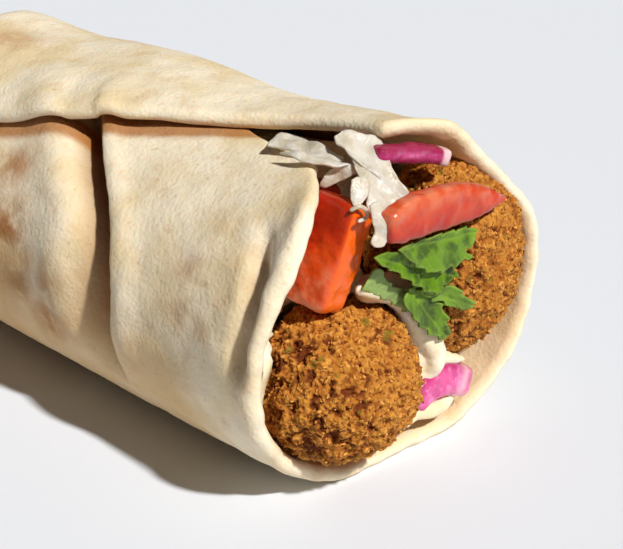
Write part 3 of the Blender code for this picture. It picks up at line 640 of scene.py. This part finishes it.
def loft(name, rings):
    """A closed mesh through rings of equally many points, its ends closed by fans."""
    count, sides = len(rings), len(rings[0])
    points = np.concatenate([*rings, [np.mean(rings[0], axis=0)], [np.mean(rings[-1], axis=0)]])
    index = np.arange(count * sides).reshape(count, sides)
    faces = grid_faces(np.concatenate([index, index[:, :1]], axis=1))
    first, last = index[0].tolist(), index[-1].tolist()
    faces += [(count * sides, first[(j + 1) % sides], first[j]) for j in range(sides)]
    faces += [(count * sides + 1, last[j], last[(j + 1) % sides]) for j in range(sides)]
    return solid(name, points, faces)


turns = np.linspace(0.0, 360.0, SAUCE_SIDES, endpoint=False)
top_wall = sauce_wall(np.full(SAUCE_SIDES, SAUCE_TOP * MM), turns, SAUCE_ROOM)
middle_z = height(SAUCE_TOP * MM) / MM / 2
rings = []
for share in np.linspace(0.02, 1.0, SAUCE_RINGS):
    y, z = (top_wall[:, 1] - SPINE_Y) / MM * share, middle_z + (top_wall[:, 2] / MM - middle_z) * share
    depth = sauce_depth(y, z)
    lumps = np.maximum(rough(np.stack([depth * 0.3, y, z], axis=-1), SAUCE_LUMP_SIZE, 4, 2), -0.3)
    depth = depth - SAUCE_LUMP * lumps * (1 - share**6)
    rings.append(from_mouth(np.stack([-depth, y, z], axis=-1)))
mouth = sauce_wall(MOUTH_X - rings[-1][:, 0], turns, SAUCE_ROOM)
rings[-1] = mouth
for share in np.linspace(0.0, 1.0, SAUCE_STEPS)[1:]:
    behind = (MOUTH_X - mouth[:, 0]) * (1 - share) + SAUCE_END * MM * share
    rings.append(sauce_wall(behind, turns, SAUCE_ROOM))
filling = loft("tahini_filling", rings)


def smooth_path(points, count):
    """Evenly spread points on a smooth curve through the given ones."""
    points = np.array(points, float)
    ends = np.concatenate([[2 * points[0] - points[1]], points, [2 * points[-1] - points[-2]]])
    at = np.linspace(0, len(points) - 1, count)
    i = np.minimum(at.astype(int), len(points) - 2)
    f = (at - i)[:, None]
    a, b, c, d = (ends[i + k] for k in range(4))
    return 0.5 * (2 * b + (c - a) * f + (2 * a - 5 * b + 4 * c - d) * f**2 + (3 * b - a - 3 * c + d) * f**3)


def melted(name, strands, voxel, rounds):
    """One smooth body round the strands, each given by places and radii in mm."""
    bm = bmesh.new()
    for strand in strands:
        for *spot, radius in smooth_path(strand, 9 * len(strand)):
            bead = bmesh.ops.create_icosphere(bm, subdivisions=2, radius=radius * MM)
            bmesh.ops.translate(bm, verts=bead["verts"], vec=from_mouth(spot))
    mesh = bpy.data.meshes.new(name)
    bm.to_mesh(mesh)
    bm.free()
    obj = added(name, mesh)
    melt = obj.modifiers.new("melt", "REMESH")
    melt.mode = "VOXEL"
    melt.voxel_size = voxel * MM
    soften = obj.modifiers.new("soften", "SMOOTH")
    soften.iterations = rounds
    obj.data = worked_out(obj)
    obj.modifiers.clear()
    obj.data.shade_smooth()
    return obj


def push_out(obj, amount):
    """Moves each point of the piece along its normal, by an amount in mm that depends on its place in mm."""
    mesh = obj.data
    count = len(mesh.vertices)
    places, normals = np.empty(count * 3, np.float32), np.empty(count * 3, np.float32)
    mesh.vertices.foreach_get("co", places)
    mesh.vertex_normals.foreach_get("vector", normals)
    places, normals = places.reshape(-1, 3).astype(float), normals.reshape(-1, 3)
    moved = places + normals * (amount(places / MM) * MM)[:, None]
    mesh.vertices.foreach_set("co", moved.astype(np.float32).ravel())
    mesh.update()


cream = melted("tahini_cream", CREAM, CREAM_VOXEL, CREAM_ROUNDS)
push_out(cream, lambda p: 0.35 * rough(p, 3.0, 6) + 0.06 * rough(p, 1.2, 7, 2))

# Tahini cream: smooth and wet, off-white, with light passing a little way in
creamy = surface("tahini_cream", 0.32, 0.35, (1.0, 0.8, 0.55), 2.5)
coats(creamy, "#fbf0d6", ((8, 0.4, 0.65), 1, "#f0dcb0"))
relief(creamy, ((2.0, 0.3, 0.7, 3.0), 0.12))
finish_piece(filling, creamy, "tahini_sauce", "tahini_sauce")
finish_piece(cream, creamy, "tahini_sauce")

# Tomato: three pieces cut from a ripe tomato, which stand and lie over the front ball. They have wet red
# flesh with paler streaks, and one has a side of thin glossy skin from the tomato's outside.
# Each piece: places in mm along it, its width and thickness in mm, and the direction of its width
TOMATO_FRONT = (((-6, -20.6, 44.6), (-5.4, -17.8, 52.6), (-5.2, -14.4, 61.4)), 13.6, 8, (1, 0.1, 0))
TOMATO_DARK = (((-19.5, -12, 45), (-18.5, -10, 52.6), (-17.4, -8.4, 59.8)), 12.6, 6, (0.35, 1, 0))
TOMATO_BACK = (
    ((8, -13.4, 61.4), (8, -6, 61.4), (8, 4.6, 60.3), (8, 12.4, 58.9), (7.6, 19.8, 57.2)),
    9.4, 4.4, (0, 0, 1))
TOMATO_STEPS, TOMATO_SIDES, END_RINGS = 60, 72, 6
SPINDLE = ((0, 0.12, 0.3, 0.55, 0.75, 0.9, 1), (0.72, 0.93, 1, 0.93, 0.72, 0.42, 0.14))


def bar(name, shape, slimmest, squareness, steps, sides, widths=None):
    """A bar swept along its path, slimmer at its ends, with rounded edges. Keeps where each point lies."""
    path, width, thickness, across = shape
    middle = smooth_path(path, steps)
    along = np.gradient(middle, axis=0)
    along /= np.linalg.norm(along, axis=1, keepdims=True)
    side = np.array(across, float) - along * (along @ np.array(across, float))[:, None]
    side /= np.linalg.norm(side, axis=1, keepdims=True)
    face = np.cross(along, side)
    angles = np.linspace(0, 2 * math.pi, sides, endpoint=False)
    cosine, sine = np.cos(angles), np.sin(angles)
    radius = (np.abs(cosine) ** squareness + np.abs(sine) ** squareness) ** (-1 / squareness)
    rounding = 0.3 * min(width, thickness)
    rings, where = [], []
    for i in range(steps):
        share = i / (steps - 1)
        first, last = 1 - smooth(2 * share), 1 - smooth(2 - 2 * share)
        slim = 1 - (1 - slimmest[0]) * first - (1 - slimmest[1]) * last
        wide = width / 2 * slim * (np.interp(share, *widths) if widths else 1.0)
        broad, deep = wide * radius * cosine, thickness / 2 * radius * sine
        ring = side[i] * broad[:, None] + face[i] * deep[:, None]
        here = np.stack([np.full(sides, share), cosine], axis=-1)
        if i in (0, steps - 1):
            out = along[i] * rounding * (-1 if i == 0 else 1)
            turned = np.linspace(0, math.pi / 2, END_RINGS)
            narrowed = (0.72 + 0.28 * np.cos(turned)) * np.where(turned < turned[-1], 1, 0.35)
            ends = [middle[i] + ring * k + out * math.sin(t) for k, t in zip(narrowed, turned)]
            rings += ends[::-1] if i == 0 else ends
            where += [here] * END_RINGS
        else:
            rings.append(middle[i] + ring)
            where.append(here)
    obj = loft(name, [from_mouth(ring) for ring in rings])
    where = np.concatenate([*where, [[0, 0]], [[1, 0]]])
    for key, values in zip(("along", "across"), where.T):
        keep_points(obj, key, values)
    return obj


def joined(name, pieces):
    """One object of several."""
    first = pieces[0]
    with bpy.context.temp_override(active_object=first, selected_editable_objects=pieces):
        bpy.ops.object.join()
    first.name = name
    return first


def flesh(p):
    return 0.3 * rough(p, 4.0, 21, 2) + 0.1 * rough(p, 1.2, 22)


def values_of(obj, name):
    """The numbers kept for each point of a mesh."""
    values = np.empty(len(obj.data.vertices), np.float32)
    obj.data.attributes[name].data.foreach_get("value", values)
    return values


# Ripe tomato flesh: wet and glossy red, and a smooth orange skin side. Paler pink streaks carry a painted
# highlight, and darker red is painted shade on part of it
gloss = {"Coat Weight": 0.12, "Coat Roughness": 0.12}
ripe = surface("tomato_flesh", 0.3, 0.15, (1.0, 0.2, 0.06), 1.5, gloss)
coats(ripe, "#dc4a12",
      ((7, 0.4, 0.65, 3), 1, "#c8300a"), ("pale", (4.5, 0.3, 0.66, 3, 12), "#e88a62"),
      ("deep", 0.9, "#990c02"), ("skin", 0.95, "#ee6208"))
relief(ripe, ((2.2, 0.3, 0.7, 3.0), 0.1))
# Each piece: its shape, its ends' slimness, how square it is and its widths along it. Then how deep red, how
# pale and how much skin it is: along or across it, where that begins and ends, and its shares there.
# The front piece's upper part is painted shade and its lower part a painted sheen. The back piece has a
# painted highlight on its top edge and turns darker red towards its lower edge. The piece behind is darker
# red all over.
WEDGES = {
    "tomato_front": (TOMATO_FRONT, (0.94, 1.0), 7.0, None, {
        "skin": ("across", 0.69, 0.75, 0, 1), "deep": ("along", 0.55, 0.85, 0, 0.8),
        "pale": ("along", 0.55, 0.2, 0, 1)}),
    "tomato_dark": (TOMATO_DARK, (0.9, 0.9), 3.0, None, {"deep": ("along", 0, 1, 0.9, 0.9)}),
    "tomato_back": (TOMATO_BACK, (1.0, 1.0), 4.0, SPINDLE, {
        "deep": ("across", -0.1, -0.8, 0.25, 0.75), "pale": ("across", 0, 0.9, 0.15, 0.9)}),
}
for name, (shape, slim, square, widths, grades) in WEDGES.items():
    wedge = bar(name + "_flesh", shape, slim, square, TOMATO_STEPS, TOMATO_SIDES, widths)
    push_out(wedge, flesh)
    shares = {}
    for key, (way, start_at, end_at, low, high) in grades.items():
        change = smooth((values_of(wedge, way) - start_at) / (end_at - start_at))
        shares[key] = low + (high - low) * change
    shares["deep"] *= 1 - shares.get("skin", 0)
    for key, values in shares.items():
        keep_points(wedge, key, values)
    finish_piece(wedge, ripe, "tomato", name)

# Onion: raw white onion shaved into thin curved layers. They are wet, crisp and translucent, and lie
# crumpled together at the top of the mouth, over and between the tomato.
# Each layer's outline: places in mm
ONION = (
    ((-26.5, -13, 68.2), (-27, -10.3, 69), (-27, -8.1, 69.4), (-22.5, -6.9, 69.4), (-16.3, -7.4, 69.7),
     (-12.5, -7.4, 69), (-10.4, -7.1, 68.4), (-10.4, -10, 68.4), (-13.8, -11.6, 68.9), (-18.8, -11.8, 68.6),
     (-23.5, -11.9, 68)),
    ((-20.9, -15, 69), (-16.1, -13.8, 70.3), (-12.5, -12.2, 69.9), (-9.4, -10.3, 68.9), (-7.4, -9, 68.3),
     (-8.4, -11.3, 68.1), (-11.4, -13.9, 68.9), (-14.9, -15.4, 69.4)),
    ((-12, -12.6, 64), (-11, -11.1, 66.5), (-9, -9.7, 68.2), (-7, -8.3, 68.6), (-5.6, -8, 67.4),
     (-7, -8.9, 66), (-9, -10.4, 64.7), (-11, -11.9, 63.4)),
    ((-12, -8, 73.3), (-12, -5.1, 73.4), (-10, -2.7, 72.5), (-8, 0, 71.4), (-5, -0.5, 69.9),
     (-2, -1.9, 68), (0, -2, 65.8), (2, -1.5, 64), (2, -1.2, 61.8), (1, -3.3, 62.3), (0, -5.3, 64.4),
     (-2, -6.2, 66.2), (-4, -7.6, 68.2), (-6, -8.4, 69.6), (-9, -8.5, 71.1), (-11, -8.7, 72.1)),
    ((-7, -8.3, 69.7), (-5, -7.4, 69.2), (-3, -5.9, 67.2), (0, -5.6, 65.4), (2, -4.2, 63),
     (2.4, -6.2, 61.8), (2.6, -9.7, 61.8), (2.4, -12.2, 61.7), (0.4, -11.9, 63.3), (-1, -10.3, 64.9),
     (-4, -9.4, 66.7)),
    ((-2, -13.8, 68.3), (-1, -12.4, 69), (0, -10.9, 67.5), (1, -12, 65.7), (1.4, -13.9, 64.8),
     (1.2, -16.1, 64.4), (-1, -15.1, 66)),
    ((5.2, -16.4, 66), (6.2, -14.5, 66.4), (7.2, -13.8, 64.2), (8, -14.2, 61.8), (8.4, -14.6, 58.8),
     (8.4, -16.4, 58), (7.8, -18.2, 59.2), (7.2, -16.6, 60.8), (6.4, -16.6, 63)),
)
# The small curl: places in mm along it, with its radius
CURL = (
    (1.6, -17.5, 64.2, 0.5), (2.6, -16.4, 64.9, 0.55), (2.8, -14.6, 63.6, 0.55), (3.4, -15.2, 62.4, 0.5),
    (3.6, -17.4, 62.4, 0.45),
)
CURL_VOXEL, CURL_ROUNDS = 0.3, 3
ONION_THICKNESS, ONION_STEP = 0.55, 0.45


def blade(name, border, step, place, thickness):
    """A thin solid of triangles: the outline filled in the flat, placed by the function, and thickened."""
    low, high = border.min(axis=0), border.max(axis=0)
    lattice = [(a, b) for a in np.arange(low[0], high[0], step) for b in np.arange(low[1], high[1], step)]
    edges = [(i, (i + 1) % len(border)) for i in range(len(border))]
    given = [Vector(p) for p in border.tolist() + lattice]
    points, _, faces, *_ = delaunay_2d_cdt(given, edges, [], 1, 1e-4)
    corners = np.array([f for f in faces if len(f) == 3])
    used, corners = np.unique(corners, return_inverse=True)
    corners = corners.reshape(-1, 3)
    flat = np.array([points[k][:] for k in used])
    places = from_mouth(place(flat))
    a, b, c = (places[corners[:, k]] for k in range(3))
    facing = np.cross(b - a, c - a)
    normals = np.zeros_like(places)
    for k in range(3):
        np.add.at(normals, corners[:, k], facing)
    half = normals / np.maximum(np.linalg.norm(normals, axis=1, keepdims=True), 1e-12) * thickness / 2 * MM
    count = len(places)
    sides = [(a, b) for f in corners.tolist() for a, b in zip(f, f[1:] + f[:1])]
    known = set(sides)
    walls = [(a, b, b + count, a + count) for a, b in sides if (b, a) not in known]
    faces = corners.tolist() + (corners[:, ::-1] + count).tolist() + walls
    return solid(name, np.concatenate([places + half, places - half]), faces), flat


def shaving(name, outline, seed):
    """A crumpled layer of onion through its outline."""
    outline = np.array(outline, float)
    ring = smooth_path(np.concatenate([outline, outline[:1]]), len(outline) * 8)[:-1]
    ring += 0.12 * np.stack([rough(ring, 1.3, seed + k) for k in range(3)], axis=-1)
    middle = ring.mean(axis=0)
    axes = np.linalg.svd(ring - middle)[2]
    border, lift = (ring - middle) @ axes[:2].T, (ring - middle) @ axes[2]

    def place(flat):
        near = 1 / (np.linalg.norm(flat[:, None] - border[None], axis=2) ** 2 + 0.05)
        laid = middle + flat @ axes[:2]
        folds = 0.9 * rough(laid, 3.6, seed + 5) + 0.12 * rough(laid, 1.6, seed + 9)
        return laid + ((near @ lift) / near.sum(axis=1) + folds)[:, None] * axes[2]

    return blade(name, border, ONION_STEP, place, ONION_THICKNESS)[0]


layers = [shaving(f"onion_layer_{k}", outline, 31 + 2 * k) for k, outline in enumerate(ONION)]
layers.append(melted("onion_curl", (CURL,), CURL_VOXEL, CURL_ROUNDS))
onion = joined("onion_shavings", layers)

# Raw onion: wet, clear white flesh that lets light through, with soft darker patches
clear = surface("white_onion", 0.38, 0.4, (1.0, 0.92, 0.8), 1.5, {"Transmission Weight": 0.25})
coats(clear, "#f2e8d6", ((3.5, 0.4, 0.65, 2.0), 1, "#e0d2b8"))
relief(clear, ((1.0, 0.3, 0.7, 2.0), 0.08))
finish_piece(onion, clear, "onion", "onion_1", "onion_2", "onion_3")

# Pickled turnip: cut in sticks and dyed magenta by beetroot in the brine. One lies under the flap, and a
# bent chunk with a pale end lies low between the balls.
PICKLE_STICK = (((-5.6, -2, 69.2), (-3.6, 5.4, 68), (-1.6, 12.8, 65.8)), 3.9, 4.4, (0, 0, 1))
PICKLE_CHUNK = (
    ((0.2, 4.6, 13.4), (0.4, 9, 15.2), (0.6, 13, 14.6), (0.4, 18.4, 11.8)), 7.8, 5.6, (0, 0, 1))
PICKLE_STEPS, PICKLE_SIDES = 48, 56
# Turnip stained by the brine: wet and shiny, pink where the stain is light and dark red where it is deep
dyed = surface("pickled_turnip", 0.26, 0.3, (1.0, 0.35, 0.6), 2.0, {"Coat Weight": 0.25})
coats(dyed, "#e05a98",
      ((5, 0.4, 0.65, 2), 1, "#cc4084"), ((2.2, 0.5, 0.7, 2, 6), 0.5, "#f49ccb"),
      ("deep", 1, "#8a0e30"), ("pale", 1, "#f6d2d0"))
relief(dyed, ((2.0, 0.3, 0.7, 3.0), 0.12))
for name, shape in (("pickle_stick", PICKLE_STICK), ("pickle_chunk", PICKLE_CHUNK)):
    pickle = bar(name + "_cut", shape, (0.9, 0.9), 4.0, PICKLE_STEPS, PICKLE_SIDES)
    push_out(pickle, lambda p: 0.3 * rough(p, 3.5, 51, 2))
    along, across = values_of(pickle, "along"), values_of(pickle, "across")
    if name == "pickle_stick":
        deep = 0.85 * (1 - 0.7 * bump(across, 0.1, 0.35))
        pale = 0.85 * smooth((along - 0.9) / 0.05)
    else:
        deep = 0.55 * smooth((across - 0.4) / 0.5)
        pale = 0.5 * bump(along, 0.9, 0.08)
    keep_points(pickle, "deep", deep)
    keep_points(pickle, "pale", pale)
    finish_piece(pickle, dyed, "pickle", name)

# Parsley: the flat leaflets of a sprig, tucked between the balls. Each leaflet is a thin blade, cut into
# toothed lobes, with sunken veins, and it sags over what lies behind it.
LEAF_THICKNESS, LEAF_STEP, TOOTH_STEP, TOOTH_LENGTH, TOOTH_DEPTH = 0.45, 0.5, 0.4, 4.2, 0.75
# Each leaflet: how far before the mouth it hangs, its room to the balls, how much a painted wet highlight
# whitens it, its outline in mm
LEAFLETS = (
    (6, 1.6, 0.1, (
        (-10.4, 55.2), (-7.4, 55.5), (-3.8, 55.2), (-0.5, 54.9), (2.6, 54.8), (6, 54.1), (10.1, 53.5),
        (13.7, 51.6), (13, 50.1), (11.6, 49.1), (10, 48.3), (11.1, 47), (8.2, 46.4), (5, 46.4),
        (2.5, 46.6), (0.1, 47), (-3.6, 48.8), (-6.7, 51.2))),
    (5.6, 1, 0, (
        (-16.2, 55.1), (-13.1, 55.3), (-9.2, 54.2), (-5.6, 52.3), (-2.5, 50.4), (1.2, 47.8), (5, 46.9),
        (7.6, 44.9), (8.6, 42.5), (6.8, 42), (4.3, 42.2), (4.3, 41), (0.9, 41.5), (-2.9, 44),
        (-6.9, 47.2), (-10.6, 50.3), (-13.9, 52.5))),
    (5, 1, 0.2, (
        (-2.2, 42.7), (1.5, 42), (5, 41.3), (7.4, 41), (9, 39.3), (11, 37.1), (12.5, 34.9),
        (10.1, 34.9), (7.8, 35.6), (5.2, 37.5), (1.6, 39.5))),
    (3.8, 1.2, 0.1, (
        (-4.1, 43.5), (-1.4, 43.2), (1.5, 40.3), (5.4, 36.8), (6.6, 34.3), (7.9, 31.1), (8.6, 28),
        (7.4, 27.6), (4.4, 29.4), (1.2, 32.1), (-1.7, 35), (-4, 38.1), (-5.9, 41.6))),
    (1.6, 1, 0.8, (
        (-15.3, 46.3), (-14.1, 48.2), (-12.4, 50.2), (-10.3, 49.3), (-8.2, 45.9), (-5.4, 43.8),
        (-2.3, 41.7), (-0.4, 38.8), (0, 35.4), (-2.5, 37), (-5.3, 39.4), (-8.7, 42), (-12.3, 44.4))),
)


def front_of_ball(ball, y, z):
    """How far before the mouth's plane the front of a ball lies, or far behind it beside the ball."""
    (x, y0, z0), (rx, ry, rz) = ball
    inside = 1 - ((y - y0) / (ry + CRAG)) ** 2 - ((z - z0) / (rz + CRAG)) ** 2
    return x + (rx + CRAG) * math.sqrt(inside) if inside > 0 else -50.0


def toothed(outline):
    """The outline with fine teeth that lean towards the tip, at even steps."""
    ring = np.array(outline, float)
    smooth_ring = smooth_path(np.concatenate([ring, ring[:1]]), len(ring) * 12)[:-1]
    step = np.linalg.norm(np.roll(smooth_ring, -1, axis=0) - smooth_ring, axis=1)
    at = np.concatenate([[0.0], np.cumsum(step)])
    closed = np.concatenate([smooth_ring, smooth_ring[:1]])
    even = np.linspace(0, at[-1], int(at[-1] / TOOTH_STEP), endpoint=False)
    ring = np.stack([np.interp(even, at, closed[:, k]) for k in range(2)], axis=-1)
    tangent = np.roll(ring, -1, axis=0) - np.roll(ring, 1, axis=0)
    tangent /= np.linalg.norm(tangent, axis=1, keepdims=True)
    normal = np.stack([tangent[:, 1], -tangent[:, 0]], axis=-1)
    area = 0.5 * np.sum(ring[:, 0] * np.roll(ring[:, 1], -1) - np.roll(ring[:, 0], -1) * ring[:, 1])
    normal *= math.copysign(1, area)
    base, tip = ring[0], ring[np.argmax(np.linalg.norm(ring - ring[0], axis=1))]
    reach = np.clip((ring - base) @ (tip - base) / np.dot(tip - base, tip - base), 0, 1)
    phase = np.mod(even / TOOTH_LENGTH, 1.0)
    return ring + normal * (TOOTH_DEPTH * (phase**1.5 - 0.45) * smooth(reach / 0.3))[:, None], base, tip


def leaflet(name, depth, room, pale, outline):
    """One leaflet that hangs over the balls, with its veins, edges and painted highlight kept for its
    material.
    """
    border, base, tip = toothed(outline)
    spine = (tip - base) / np.linalg.norm(tip - base)

    def veins(flat):
        forward, aside = (flat - base) @ spine, (flat - base) @ np.array([-spine[1], spine[0]])
        branch = np.abs(np.mod(forward - 0.9 * np.abs(aside), 2.8) - 1.4)
        side_veins = 0.6 * bump(branch - 1.4, 0, 0.22) * smooth(np.abs(aside))
        return np.maximum(bump(aside, 0, 0.3), side_veins), aside

    def place(flat):
        vein, aside = veins(flat)
        fronts = [max(front_of_ball(BACK_BALL, *p), front_of_ball(FRONT_BALL, *p)) for p in flat]
        hang = np.maximum(depth, fronts)
        waves = 0.6 * rough(np.c_[flat, flat[:, 0] * 0], 4.5, 61) + 0.18 * np.abs(aside)
        return np.c_[hang + room + waves - 0.2 * vein, flat]

    obj, flat = blade(name, border, LEAF_STEP, place, LEAF_THICKNESS)
    to_edge = np.min(np.linalg.norm(flat[:, None] - border[None], axis=2), axis=1)
    kept = {"vein": veins(flat)[0], "edge": 1 - smooth(to_edge / 0.7), "pale": np.full(len(flat), pale)}
    for key, values in kept.items():
        keep_points(obj, key, np.concatenate([values, values]))
    return obj


leaves = [leaflet(f"parsley_leaflet_{k}", *shape) for k, shape in enumerate(LEAFLETS)]
parsley = joined("parsley_sprig", leaves)

# Parsley leaf: fresh green with a slight waxy shine, lighter along the veins, whitened in places by a
# painted wet highlight, with some light passing in
green_leaf = surface("parsley_leaf", 0.42, 0.1, (0.5, 1.0, 0.1), 0.5, {"Specular IOR Level": 0.2})
coats(green_leaf, "#5e8204",
      ((5, 0.42, 0.6, 2), 1, "#2e4802"), ("pale", 0.8, "#a8c076"), ("vein", 0.45, "#8aa83a"),
      ("edge", 0.3, "#a2bc50"))
relief(green_leaf, ((1.2, 0.3, 0.7, 2.0), 0.1))
finish_piece(parsley, green_leaf, "parsley", "parsley")

# Floor and light: a plain pale table under one lamp on the mouth's side, with a little light from all round.
LAMP_DIRECTION, LAMP_ENERGY, LAMP_ANGLE = Vector((-0.9, 0.06, -1.0)), 4.1, math.radians(3.5)
ROOM_COLOUR, ROOM_LIGHT = (0.95, 0.97, 1.0, 1.0), 0.065
AZIMUTH, ELEVATION, DISTANCE, LENS = math.radians(44.5), math.radians(26), 0.430, 112
floor_mesh = bpy.data.meshes.new("floor")
floor_mesh.from_pydata([(-2, -2, 0), (2, -2, 0), (2, 2, 0), (-2, 2, 0)], [], [(0, 1, 2, 3)])
floor = added("floor", floor_mesh)
# Pale painted table: matt and nearly white
table = surface("pale_table", 0.9, more={"Base Color": colour("#e4e6ea"), "Specular IOR Level": 0.1})
floor.data.materials.append(table)

lamp = added("lamp", bpy.data.lights.new("lamp", "SUN"))
lamp.data.energy = LAMP_ENERGY
lamp.data.angle = LAMP_ANGLE
lamp.rotation_mode = "QUATERNION"
lamp.rotation_quaternion = LAMP_DIRECTION.to_track_quat("-Z", "Y")
room = bpy.data.worlds.new("room")
room.use_nodes = True
room.node_tree.nodes["Background"].inputs[0].default_value = ROOM_COLOUR
room.node_tree.nodes["Background"].inputs[1].default_value = ROOM_LIGHT
bpy.context.scene.world = room
bpy.context.scene.view_settings.view_transform = "Standard"

flat_reach = math.cos(ELEVATION)
back = Vector((math.sin(AZIMUTH) * flat_reach, -math.cos(AZIMUTH) * flat_reach, math.sin(ELEVATION)))
aim = Vector((MOUTH_X - 33 * MM, SPINE_Y + 6.6 * MM, 30 * MM))
camera = added("camera", bpy.data.cameras.new("camera"))
camera.data.lens = LENS
camera.data.clip_start = 0.01
camera.location = aim + back * DISTANCE
camera.rotation_mode = "QUATERNION"
camera.rotation_quaternion = (-back).to_track_quat("-Z", "Y")
bpy.context.scene.camera = camera
